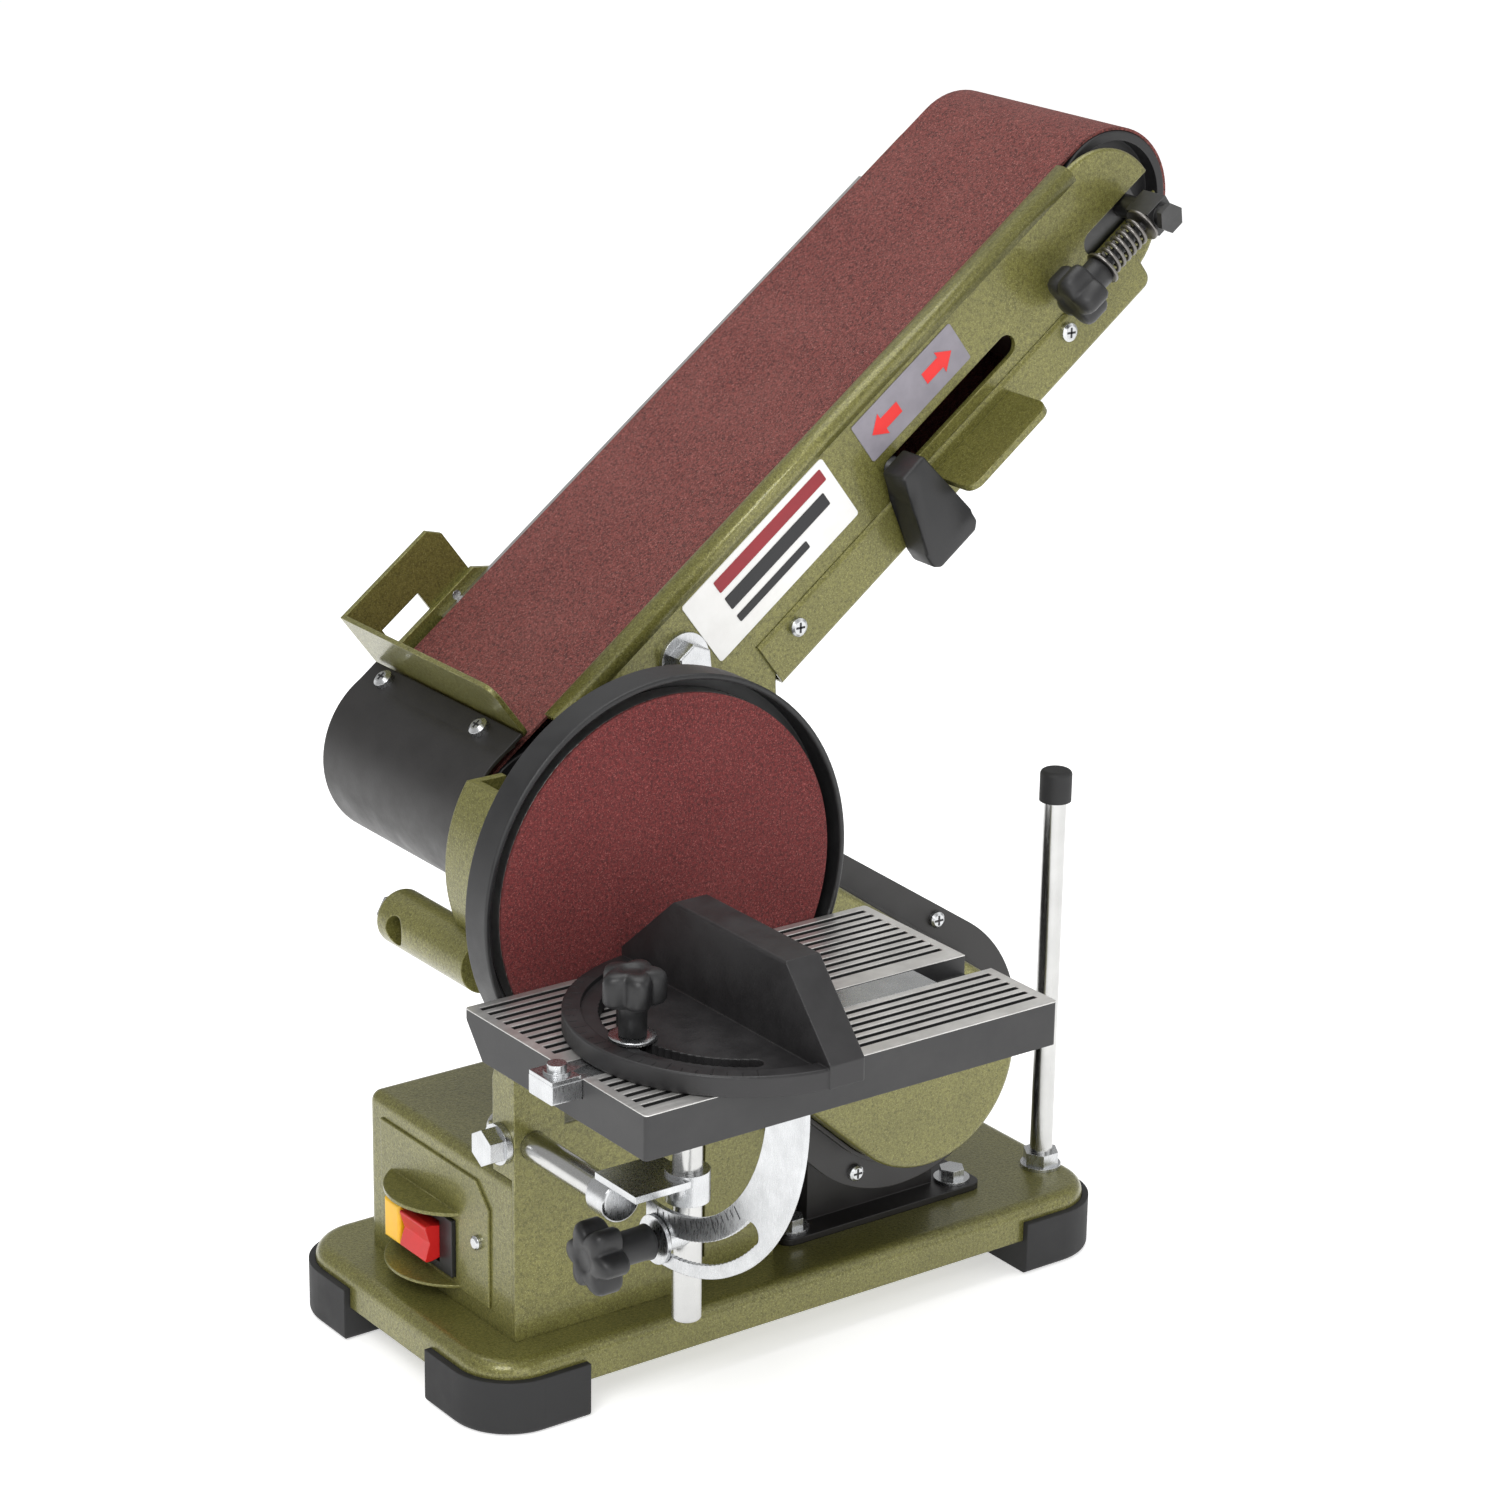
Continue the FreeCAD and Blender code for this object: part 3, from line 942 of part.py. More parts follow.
# ---------------------------------------------------------------- table
quad = Piece("quadrant")
quad.rod("X", ("leaf_x", "pivot_y", "pivot_z"), "leaf_out", "plate_t")
quad.rod("X", ("leaf_x - 1", "pivot_y", "pivot_z"), "leaf_in", "plate_t + 2", cut=True)
quad.box(("leaf_x - 1", "pivot_y + leaf_rear", "-200"), ("leaf_x + plate_t + 1", "100", "100"), cut=True)
quad.box(("leaf_x - 1", "-200", TABLE_LOW), ("leaf_x + plate_t + 1", "100", "100"), cut=True)
quad.box(("leaf_x", "pivot_y - leaf_out", TABLE_LOW + " - 3"), ("leaf_x + plate_t", "pivot_y + 9", TABLE_LOW))
quad.rod("X", ("leaf_x", "pivot_y", "pivot_z"), "7.8", "plate_t")
quad.box(("leaf_x", "pivot_y - 9", "pivot_z"), ("leaf_x + plate_t", "pivot_y + 9", TABLE_LOW))
quad.box(("leaf_x - 13", "pivot_y - leaf_out", TABLE_LOW + " - plate_t"),
         ("leaf_x + 0.5", "pivot_y + 9", TABLE_LOW))
quad.rod("X", ("leaf_x - 1", "pivot_y", "pivot_z"), "3.05", "plate_t + 2", cut=True)
SLOT_STEPS = 25
SLOT_SWEEP = 47.0
for n in range(SLOT_STEPS):
    a = SLOT_SWEEP * n / (SLOT_STEPS - 1)
    quad.rod("X", ("leaf_x - 1", "pivot_y - leaf_slot * sin(%gdeg)" % a,
                   "pivot_z - leaf_slot * cos(%gdeg)" % a), "stud_r + 0.6", "plate_t + 2", cut=True)
LEAF_SCREWS = ("pivot_y - 84", "pivot_y - 24")
for y in LEAF_SCREWS:
    quad.rod("Z", ("leaf_x - 7", y, TABLE_LOW + " - 5"), "2.6", "8", cut=True)

quad_screws = Piece("quadrant_screws")
for y in LEAF_SCREWS:
    quad_screws.rod("Z", ("leaf_x - 7", y, TABLE_LOW + " - plate_t - 2.6"), "4.6", "2.6")
    quad_screws.rod("Z", ("leaf_x - 7", y, TABLE_LOW + " - plate_t - 1"), "2.5", "plate_t + 7")

TX = "table_len / 2"
TY1 = TABLE_BACK
TY0 = "(-table_gap - table_wid)"
table = Piece("table_top")
table.box(("-" + TX, TY0, TABLE_LOW), (TX, TY1, "table_top"))
table.soften("1.5", lambda e: along(e, "z"))
table.box(("-%s - 1" % TX, "mitre_y - mitre_wid / 2", "table_top - mitre_deep"),
          (TX + " + 1", "mitre_y + mitre_wid / 2", "table_top + 1"), cut=True)
GROOVES = []
for n in range(10):
    GROOVES.append("mitre_y + 18 + groove_step * %d" % n)
for n in range(6):
    GROOVES.append("mitre_y - 12.5 - groove_step * %d" % n)
for y in GROOVES:
    table.box(("-%s + 4" % TX, y + " - groove_wid / 2", "table_top - groove_deep"),
              (TX + " - 4", y + " + groove_wid / 2", "table_top + 1"), cut=True)
for x0, x1 in (("-%s + table_rim" % TX, "leaf_x - 18"), ("leaf_x + plate_t + 5", TX + " - table_rim")):
    for y0, y1 in ((TY0 + " + table_rim", "mitre_y - mitre_wid / 2 - 3"),
                   ("mitre_y + mitre_wid / 2 + 3", TY1 + " - table_bevel - 5.5")):
        table.box((x0, y0, TABLE_LOW + " - 1"), (x1, y1, "table_top - table_skin + 5"), cut=True)
table.prism("X", [(TY1 + " + 1", "table_top - 3"), (TY1, "table_top - 3"),
                  (TY1 + " - table_bevel", TABLE_LOW), (TY1 + " - table_bevel", TABLE_LOW + " - 1"),
                  (TY1 + " + 1", TABLE_LOW + " - 1")], "-%s - 1" % TX, TX + " + 1", cut=True)
for y in LEAF_SCREWS:
    table.rod("Z", ("leaf_x - 7", y, TABLE_LOW + " - 1"), "2.5", "7", cut=True)

# ---------------------------------------------------------------- mitre gauge
bar = Piece("mitre_bar")
BAR_TOP = "(table_top - 0.2)"
BAR_LOW = "(table_top - mitre_deep + slide_gap)"
bar.box(("-107", "mitre_y - mitre_wid / 2 + slide_gap", BAR_LOW),
        ("68", "mitre_y + mitre_wid / 2 - slide_gap", BAR_TOP))
bar.soften("0.6", lambda e: along(e, "x"))
bar.rod("Z", ("head_x", "mitre_y", BAR_LOW), "stud_r", "mitre_deep + head_t - 0.5")
bar.rod("Z", ("head_x - head_slot", "mitre_y", BAR_LOW + " - 1"), "3 + running", "20", cut=True)
bar.rod("Z", ("-100", "mitre_y", BAR_LOW + " - 1"), "2.05", "20", cut=True)

pointer = Piece("mitre_pointer")
pointer.prism("Z", [("-107", "mitre_y - 7.5"), ("-94.5", "mitre_y - 7.5"), ("-94.5", "mitre_y - 2.5"),
                    ("-86.5", "mitre_y"), ("-94.5", "mitre_y + 2.5"), ("-94.5", "mitre_y + 7.5"),
                    ("-107", "mitre_y + 7.5")], BAR_TOP, BAR_TOP + " + 1.5")
pointer.rod("Z", ("-100", "mitre_y", BAR_TOP + " - 5"), "2", "8")
pointer.rod("Z", ("-100", "mitre_y", BAR_TOP + " + 1.5"), "5", "1")
pointer.rod("Z", ("-100", "mitre_y", BAR_TOP + " + 2.5"), "3.6", "2.6")

head = Piece("mitre_head")
head.rod("Z", ("head_x", "mitre_y", HEAD_LOW), "head_r", "head_t")
head.soften("1", lambda e: at_height(e, "z", number(HEAD_TOP)))
head.rod("Z", ("head_x", "mitre_y", HEAD_TOP + " - head_recess"), "head_r - 7", "3", cut=True)
head.box(("head_x", "-200", "-100"), ("head_x + 90", "100", "100"), cut=True)
head.box(("head_x - 8", "mitre_y - head_r", HEAD_LOW), ("head_x - 8 + fence_t", "mitre_y + head_r", HEAD_TOP))
head.prism("X", [("mitre_y - head_r", HEAD_LOW), ("mitre_y + head_r", HEAD_LOW),
                 ("mitre_y + head_r", HEAD_LOW + " + 11"), ("mitre_y + head_r - 34", HEAD_LOW + " + fence_high"),
                 ("mitre_y - head_r + 28", HEAD_LOW + " + fence_high"), ("mitre_y - head_r", HEAD_LOW + " + 9")],
           "head_x - 8", "head_x - 8 + fence_t")
head.soften("1.2", lambda e: at_height(e, "x", number("head_x - 8 + fence_t")) or (
    along(e, "y") and at_height(e, "z", number(HEAD_LOW + " + fence_high"))))
head.rod("Z", ("head_x", "mitre_y", HEAD_LOW + " - 1"), "stud_r + running", "head_t + 2", cut=True)
ARC_STEPS = 31
for n in range(ARC_STEPS):
    a = 180 - 60 + 120.0 * n / (ARC_STEPS - 1)
    head.rod("Z", ("head_x + head_slot * cos(%gdeg)" % a, "mitre_y + head_slot * sin(%gdeg)" % a,
                   HEAD_LOW + " - 1"), "3.6", "head_t + 3", cut=True)

mitre_knob = Piece("mitre_knob")
MX = "(head_x - head_slot)"
WASHER_Z = "(%s - head_recess + 0.3)" % HEAD_TOP
mitre_knob.rod("Z", (MX, "mitre_y", WASHER_Z), "9", "1.6")
mitre_knob.rod("Z", (MX, "mitre_y", WASHER_Z), "5.5", "16")
lobed_knob(mitre_knob, "Z", (MX, "mitre_y", WASHER_Z + " + 14"), "13", "3.8", "14", 5)
mitre_knob.cone("Z", (MX, "mitre_y", WASHER_Z + " + 28"), "8", "5", "1.5")
mitre_knob.rod("Z", (MX, "mitre_y", BAR_LOW + " + 0.2"), "3", "20")

# ---------------------------------------------------------------- check and export
doc.recompute()
for obj in doc.Objects:
    if "Invalid" in obj.State or "Error" in obj.State:
        raise RuntimeError("not recomputed: " + obj.Name + " " + obj.Label)
os.makedirs("parts", exist_ok=True)
for obj in EXPORTS:
    shape = obj.Shape
    if shape.isNull() or not shape.isValid():
        raise RuntimeError("bad shape: " + obj.Label)
    shape.exportStep("parts/%s.step" % obj.Label)
print("%d parts" % len(EXPORTS))
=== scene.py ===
"""Looks of the belt and disc sander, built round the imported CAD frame."""
import math

import bmesh
import bpy
from mathutils import Matrix, Vector


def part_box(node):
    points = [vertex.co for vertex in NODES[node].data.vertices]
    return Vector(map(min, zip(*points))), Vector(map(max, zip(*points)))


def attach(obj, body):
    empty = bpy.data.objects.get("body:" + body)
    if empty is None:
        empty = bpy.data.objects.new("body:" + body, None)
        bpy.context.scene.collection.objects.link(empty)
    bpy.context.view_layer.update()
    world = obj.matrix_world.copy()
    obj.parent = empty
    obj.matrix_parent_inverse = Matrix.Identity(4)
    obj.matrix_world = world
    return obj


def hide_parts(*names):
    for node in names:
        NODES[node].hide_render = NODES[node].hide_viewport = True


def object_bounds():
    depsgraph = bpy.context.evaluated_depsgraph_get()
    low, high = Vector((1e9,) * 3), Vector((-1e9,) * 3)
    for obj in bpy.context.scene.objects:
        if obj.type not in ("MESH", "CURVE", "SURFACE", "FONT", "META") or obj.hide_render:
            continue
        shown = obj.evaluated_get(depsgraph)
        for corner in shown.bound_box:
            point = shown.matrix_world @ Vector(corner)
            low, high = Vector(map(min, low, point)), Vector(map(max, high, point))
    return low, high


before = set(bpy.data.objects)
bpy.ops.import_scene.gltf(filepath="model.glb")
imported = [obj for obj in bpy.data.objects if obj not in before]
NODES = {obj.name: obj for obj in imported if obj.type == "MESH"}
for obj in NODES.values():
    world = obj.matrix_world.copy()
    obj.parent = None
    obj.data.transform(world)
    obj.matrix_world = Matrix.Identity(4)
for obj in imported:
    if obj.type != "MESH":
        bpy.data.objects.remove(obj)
cad_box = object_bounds()


def middle(node):
    low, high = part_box(node)
    return (Vector(low) + Vector(high)) / 2


# ------------------------------------------------------------------ reference places
# DISC is the middle of the disc's near face. ARM starts there, with X along the belt arm.
DISC = middle("abrasive_disc")
DISC.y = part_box("abrasive_disc")[0][1]
ARM_TILT = math.radians(37.2)
ARM = Matrix.Translation(DISC) @ Matrix.Rotation(-ARM_TILT, 4, "Y")
ARM_ALONG = ARM.to_3x3() @ Vector((1, 0, 0))
ARM_UP = ARM.to_3x3() @ Vector((0, 0, 1))
IDLER_S = 360.12            # the upper drum's axle, in millimetres along the arm
TABLE_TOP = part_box("table_top")[1][2]
LAND_DEPTH = 0.35           # millimetres below the table's top that still count as ground


def local(x, y, z):
    """A place given in millimetres from the middle of the disc face."""
    return DISC + Vector((x, y, z)) / 1000


def on_arm(s, y, h):
    """A place in millimetres along, across and above the belt arm."""
    return ARM @ (Vector((s, y, h)) / 1000)


def srgb(r, g, b):
    """A linear colour from screen values of 0 to 255."""
    def linear(v):
        v /= 255
        return v / 12.92 if v <= 0.04045 else ((v + 0.055) / 1.055) ** 2.4
    return (linear(r), linear(g), linear(b), 1.0)


# ------------------------------------------------------------------ materials
class Paint:
    """A node material that reads the piece's own coordinates, in millimetres."""

    def __init__(self, name, colour, rough=0.5, metal=0.0, **extra):
        self.mat = bpy.data.materials.new(name)
        self.mat.use_nodes = True
        self.tree = self.mat.node_tree
        self.tree.nodes.clear()
        out = self.add("ShaderNodeOutputMaterial")
        self.shader = self.add("ShaderNodeBsdfPrincipled")
        self.join(self.shader.outputs[0], out.inputs["Surface"])
        self.set("Base Color", colour)
        self.set("Roughness", rough)
        self.set("Metallic", metal)
        for key, value in extra.items():
            self.set(key.replace("_", " "), value)
        coord = self.add("ShaderNodeTexCoord")
        scale = self.add("ShaderNodeVectorMath", operation="SCALE")
        self.join(coord.outputs["Object"], scale.inputs[0])
        scale.inputs["Scale"].default_value = 1000
        self.place = scale.outputs[0]
        self.normal = None

    def add(self, kind, **props):
        node = self.tree.nodes.new(kind)
        for key, value in props.items():
            setattr(node, key, value)
        return node

    def join(self, a, b):
        self.tree.links.new(a, b)

    def set(self, socket, value):
        if isinstance(value, bpy.types.NodeSocket):
            self.join(value, self.shader.inputs[socket])
        else:
            self.shader.inputs[socket].default_value = value

    def stretch(self, x, y, z):
        node = self.add("ShaderNodeMapping")
        node.inputs["Scale"].default_value = (x, y, z)
        self.join(self.place, node.inputs["Vector"])
        return node.outputs[0]

    def noise(self, size, detail=3.0, rough=0.55, at=None, twist=0.0):
        node = self.add("ShaderNodeTexNoise")
        node.inputs["Scale"].default_value = 1 / size
        node.inputs["Detail"].default_value = detail
        node.inputs["Roughness"].default_value = rough
        node.inputs["Distortion"].default_value = twist
        self.join(at or self.place, node.inputs["Vector"])
        return node.outputs[0]

    def cells(self, size, feature="F1", smooth=0.0):
        node = self.add("ShaderNodeTexVoronoi", feature=feature)
        node.inputs["Scale"].default_value = 1 / size
        if feature == "SMOOTH_F1":
            node.inputs["Smoothness"].default_value = smooth
        self.join(self.place, node.inputs["Vector"])
        return node.outputs["Distance"]

    def ramp(self, value, *stops):
        node = self.add("ShaderNodeValToRGB")
        points = node.color_ramp.elements
        while len(points) < len(stops):
            points.new(0.5)
        for point, (at, colour) in zip(points, stops):
            point.position = at
            if isinstance(colour, (int, float)):
                colour = (colour, colour, colour, 1)
            point.color = colour
        self.join(value, node.inputs[0])
        return node.outputs[0]

    def math(self, kind, a, b=0.0):
        node = self.add("ShaderNodeMath", operation=kind)
        for socket, value in zip(node.inputs, (a, b)):
            if isinstance(value, bpy.types.NodeSocket):
                self.join(value, socket)
            else:
                socket.default_value = value
        return node.outputs[0]

    def mix(self, part, a, b):
        """Colour a turning into b; sockets 6 and 7 are the node's colour inputs."""
        node = self.add("ShaderNodeMix", data_type="RGBA")
        for socket, value in ((node.inputs[0], part), (node.inputs[6], a), (node.inputs[7], b)):
            if isinstance(value, bpy.types.NodeSocket):
                self.join(value, socket)
            else:
                socket.default_value = value
        return node.outputs[2]

    def axis(self, letter):
        node = self.add("ShaderNodeSeparateXYZ")
        self.join(self.place, node.inputs[0])
        return node.outputs["XYZ".index(letter)]

    def round_edges(self, radius):
        """Softened edges; gives back a mask that is 1 on them."""
        edge = self.add("ShaderNodeBevel", samples=8)
        edge.inputs["Radius"].default_value = radius / 1000
        flat = self.add("ShaderNodeNewGeometry")
        dot = self.add("ShaderNodeVectorMath", operation="DOT_PRODUCT")
        self.join(edge.outputs[0], dot.inputs[0])
        self.join(flat.outputs["Normal"], dot.inputs[1])
        self.normal = edge.outputs[0]
        return self.ramp(dot.outputs["Value"], (0.80, 1.0), (0.985, 0.0))

    def bump(self, height, strength, depth):
        node = self.add("ShaderNodeBump")
        node.inputs["Strength"].default_value = strength
        node.inputs["Distance"].default_value = depth / 1000
        self.join(height, node.inputs["Height"])
        if self.normal is not None:
            self.join(self.normal, node.inputs["Normal"])
        self.normal = node.outputs[0]
        self.set("Normal", self.normal)


def hammertone(name, colour, dark, bright):
    """Dimpled enamel: swirls and dimples, bright flecks, and paint worn thin on the edges."""
    p = Paint(name, colour, 0.34, 0.35, Coat_Weight=0.35, Coat_Roughness=0.12)
    edge = p.round_edges(0.9)
    dimple = p.cells(0.95, "SMOOTH_F1", 0.35)
    swirl = p.noise(1.15, 4, 0.62, twist=0.6)
    cloud = p.noise(34, 2)
    fleck = p.ramp(p.noise(0.5, 2, 0.7), (0.55, 0.0), (0.72, 1.0))
    body = p.mix(p.ramp(swirl, (0.26, 0.0), (0.66, 1.0)), dark, colour)
    body = p.mix(p.math("MULTIPLY", fleck, 0.5), body, bright)
    body = p.mix(p.ramp(cloud, (0.35, 0.0), (0.75, 0.22)), body, dark)
    worn = p.math("MULTIPLY", edge, p.ramp(p.noise(5, 4, 0.7), (0.50, 0.0), (0.66, 0.5)))
    p.set("Base Color", p.mix(worn, body, bright))
    p.set("Roughness", p.ramp(swirl, (0.3, 0.42), (0.7, 0.28)))
    height = p.math("ADD", p.math("MULTIPLY", dimple, 0.7), p.math("MULTIPLY", swirl, 0.9))
    p.bump(height, 0.34, 0.34)
    return p.mat


def moulded(name, colour, rough, grain, edge, scuff):
    """Plastic, rubber, ink or plain enamel with a fine grain, sizes in millimetres."""
    p = Paint(name, colour, rough)
    rim = p.round_edges(edge)
    fine = p.noise(grain, 3, 0.6)
    cloud = p.noise(13, 4, 0.6)
    pale = tuple(min(1, v * 2.1 + 0.02) for v in colour[:3]) + (1,)
    worn = p.math("MULTIPLY", rim, p.ramp(p.noise(4, 4, 0.7), (0.45, 0.0), (0.7, scuff)))
    tone = p.mix(p.ramp(cloud, (0.3, 0.0), (0.75, 0.28)), colour, pale)
    p.set("Base Color", p.mix(worn, tone, pale))
    p.set("Roughness", p.ramp(cloud, (0.3, rough - 0.06), (0.7, rough + 0.10)))
    p.bump(fine, 0.22, 0.16)
    return p.mat


def metal(name, colour, rough, streak=(1, 1, 1), patch=9.0):
    """Bare or plated metal with faint streaks and duller patches."""
    p = Paint(name, colour, rough, 1.0)
    p.round_edges(0.3)
    line = p.noise(0.9, 4, 0.6, p.stretch(*streak))
    cloud = p.noise(patch, 4, 0.62)
    dull = tuple(v * 0.78 for v in colour[:3]) + (1,)
    p.set("Base Color", p.mix(p.ramp(cloud, (0.30, 0.0), (0.72, 0.75)), colour, dull))
    p.set("Roughness", p.ramp(line, (0.3, rough - 0.05), (0.7, rough + 0.07)))
    p.bump(line, 0.09, 0.05)
    return p.mat


def grit(name, colour, dark, pale, size):
    """Coated abrasive: packed grains, darker gaps and a few bright facets."""
    p = Paint(name, colour, 0.86)
    grain = p.cells(size)
    clump = p.noise(size * 2.2, 4, 0.78)
    cloud = p.noise(42, 3, 0.6)
    spark = p.ramp(p.noise(size * 0.9, 1, 0.8), (0.60, 0.0), (0.70, 1.0))
    tone = p.mix(p.ramp(clump, (0.36, 0.0), (0.64, 1.0)), dark, colour)
    tone = p.mix(p.math("MULTIPLY", spark, 0.55), tone, pale)
    tone = p.mix(p.ramp(cloud, (0.40, 0.0), (0.78, 0.06)), tone, pale)
    p.set("Base Color", tone)
    p.set("Roughness", p.ramp(grain, (0.1, 0.66), (0.6, 0.92)))
    height = p.math("ADD", p.math("MULTIPLY", grain, 0.6), clump)
    p.bump(height, 0.55, 0.35)
    return p.mat


GREEN = hammertone("green_enamel", srgb(126, 123, 64), srgb(72, 70, 27), srgb(192, 188, 132))
BLACK_PAINT = moulded("black_enamel", srgb(24, 22, 21), 0.42, 0.9, 0.8, 0.2)
BLACK_CAST = moulded("black_casting", srgb(27, 26, 27), 0.46, 1.1, 0.8, 0.35)
BLACK_PLASTIC = moulded("black_plastic", srgb(22, 22, 23), 0.44, 0.45, 0.7, 0.25)
RUBBER = moulded("rubber", srgb(23, 23, 24), 0.66, 0.6, 1.0, 0.15)
YELLOW = moulded("yellow_plastic", srgb(232, 170, 22), 0.36, 0.6, 0.6, 0.3)
RED = moulded("red_plastic", srgb(190, 24, 22), 0.34, 0.6, 0.6, 0.3)
ARROW_RED = moulded("arrow_ink", srgb(214, 36, 34), 0.5, 0.5, 0.1, 0.1)
MAROON = moulded("maroon_ink", srgb(132, 26, 36), 0.5, 0.5, 0.1, 0.1)
INK = moulded("black_ink", srgb(28, 28, 30), 0.5, 0.5, 0.1, 0.1)
PLATE = moulded("plate_enamel", srgb(224, 223, 220), 0.34, 0.5, 0.2, 0.1)
LABEL = moulded("label_grey", srgb(126, 122, 130), 0.45, 0.5, 0.2, 0.1)
ZINC = metal("zinc_plate", (0.60, 0.61, 0.62, 1), 0.27, (1, 1, 0.25))
ROD_STEEL = metal("drawn_rod", (0.56, 0.56, 0.55, 1), 0.22, (3, 3, 0.06), 26)
WIRE = metal("spring_wire", (0.20, 0.19, 0.18, 1), 0.34)
STEEL = metal("plain_steel", (0.56, 0.55, 0.54, 1), 0.34, (0.2, 2, 2))
DARK_STEEL = metal("blackened_steel", (0.10, 0.10, 0.10, 1), 0.38)
ALUMINIUM = metal("cast_aluminium", (0.66, 0.66, 0.65, 1), 0.40)
BELT_GRIT = grit("belt_abrasive", srgb(122, 60, 55), srgb(54, 21, 19), srgb(182, 126, 117), 0.66)
DISC_GRIT = grit("disc_abrasive", srgb(116, 41, 41), srgb(58, 17, 18), srgb(172, 94, 90), 0.62)


def table_metal():
    """Black enamel with the lands of the top ground bright."""
    p = Paint("table_casting", srgb(34, 34, 35), 0.45)
    p.round_edges(0.5)
    height = p.axis("Z")
    top = p.math("GREATER_THAN", height, TABLE_TOP * 1000 - LAND_DEPTH)
    line = p.noise(1.1, 4, 0.65, p.stretch(0.05, 2.0, 1))
    cloud = p.noise(21, 4, 0.65)
    patch = p.ramp(cloud, (0.35, 0.0), (0.75, 1.0))
    bright = p.mix(patch, (0.80, 0.79, 0.77, 1), (0.56, 0.55, 0.53, 1))
    black = p.mix(p.ramp(cloud, (0.3, 0.0), (0.7, 0.3)), srgb(33, 33, 34), srgb(62, 61, 60))
    p.set("Base Color", p.mix(top, black, bright))
    p.set("Metallic", p.math("MULTIPLY", top, 0.85))
    ground = p.ramp(line, (0.3, 0.28), (0.7, 0.46))
    p.set("Roughness", p.mix(top, (0.48, 0.48, 0.48, 1), ground))
    p.bump(p.math("ADD", line, p.noise(0.9, 3)), 0.2, 0.08)
    return p.mat


TABLE = table_metal()

FINISH = {
    "green": (GREEN, "base_plate switch_box switch_panel support_plate spindle_frame rod_socket "
              "belt_cover arm_near_plate arm_far_plate arm_lower_cover arm_rest_tab work_stop"),
    "rubber": (RUBBER, "rubber_feet post_cap drive_belt"),
    "plastic": (BLACK_PLASTIC, "switch_body cord_gland disc_guard tension_lever driven_pulley "
                "drive_drum idler_drum table_lock_knob mitre_knob tracking_knob"),
    "enamel": (BLACK_PAINT, "motor_housing belt_backplate drum_cover"),
    "cast": (BLACK_CAST, "mitre_head"),
    "yellow": (YELLOW, "start_key"),
    "red": (RED, "stop_paddle"),
    "zinc": (ZINC, "cover_screws rod_clamp_bolt base_bolts arm_bolt arm_screws rod_link quadrant "
             "quadrant_screws pivot_washers tilt_pin mitre_bar mitre_pointer"),
    "rod": (ROD_STEEL, "support_post table_rod pivot_post"),
    "steel": (STEEL, "spindle spindle_bearings motor_pulley motor_shaft platen tracking_spring"),
    "dark": (DARK_STEEL, "idler_axle idler_yoke"),
    "aluminium": (ALUMINIUM, "disc_plate"),
    "belt": (BELT_GRIT, "sanding_belt"),
    "disc": (DISC_GRIT, "abrasive_disc"),
    "plate": (PLATE, "name_plate"),
    "label": (LABEL, "arrow_label"),
    "table": (TABLE, "table_top"),
}
for paint, names in FINISH.values():
    for name in names.split():
        mesh = NODES[name].data
        mesh.materials.clear()
        mesh.materials.append(paint)


# ------------------------------------------------------------------ mesh helpers
def keep(mesh, name, body, paint, smooth=True, replaced=()):
    """Turn a bmesh into an object that rides on a body."""
    data = bpy.data.meshes.new(name)
    bmesh.ops.recalc_face_normals(mesh, faces=mesh.faces)
    mesh.to_mesh(data)
    mesh.free()
    data.materials.append(paint)
    for face in data.polygons:
        face.use_smooth = smooth
    piece = bpy.data.objects.new(name, data)
    bpy.context.scene.collection.objects.link(piece)
    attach(piece, body)
    if replaced:
        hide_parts(*replaced)
    return piece


def frame_to(at, along):
    """A transform that puts +Z along a direction at a place."""
    along = Vector(along).normalized()
    return Matrix.Translation(at) @ along.to_track_quat("Z", "Y").to_matrix().to_4x4()


def ring(mesh, place, reach, height, steps):
    """A ring of vertices; reach gives its radius, in millimetres, at an angle."""
    verts = []
    for n in range(steps):
        a = 2 * math.pi * n / steps
        spot = Vector((reach(a) * math.cos(a), reach(a) * math.sin(a), height)) / 1000
        verts.append(mesh.verts.new(place @ spot))
    return verts


def skin(mesh, rings):
    """Faces from each ring to the next, and a cap at both ends."""
    steps = len(rings[0])
    for low, high in zip(rings, rings[1:]):
        for n in range(steps):
            m = (n + 1) % steps
            mesh.faces.new((low[n], low[m], high[m], high[n]))
    mesh.faces.new(rings[0][::-1])
    mesh.faces.new(rings[-1])


def lathe(mesh, profile, place, steps=40):
    """A turned shape from rows of (radius, height) in millimetres."""
    skin(mesh, [ring(mesh, place, lambda a: radius, height, steps) for radius, height in profile])


def lobed(mesh, place, radius, count, profile, depth):
    """A knob whose rim waves in and out; profile rows are (share, height, wave)."""
    def valley(a):
        return 1 - (0.5 + 0.5 * math.cos(count * a)) ** LOBE_SHAPE

    rings = []
    for share, height, wave in profile:
        rings.append(ring(mesh, place, lambda a: radius * share * (1 - wave * depth * valley(a)),
                          height, LOBE_STEPS))
    skin(mesh, rings)


def tube(mesh, path, radius, steps=12):
    """A round wire along a list of points."""
    rings = []
    for k, spot in enumerate(path):
        ahead = path[min(k + 1, len(path) - 1)] - path[max(k - 1, 0)]
        rings.append(ring(mesh, frame_to(spot, ahead), lambda a: radius, 0, steps))
    skin(mesh, rings)


def slab(mesh, outline, thick, place):
    """An outline of (x, y) in millimetres, raised by thick along +Z."""
    low = [mesh.verts.new(place @ (Vector((x, y, 0)) / 1000)) for x, y in outline]
    high = [mesh.verts.new(place @ (Vector((x, y, thick)) / 1000)) for x, y in outline]
    mesh.faces.new(low[::-1])
    mesh.faces.new(high)
    for n in range(len(outline)):
        m = (n + 1) % len(outline)
        mesh.faces.new((low[n], low[m], high[m], high[n]))


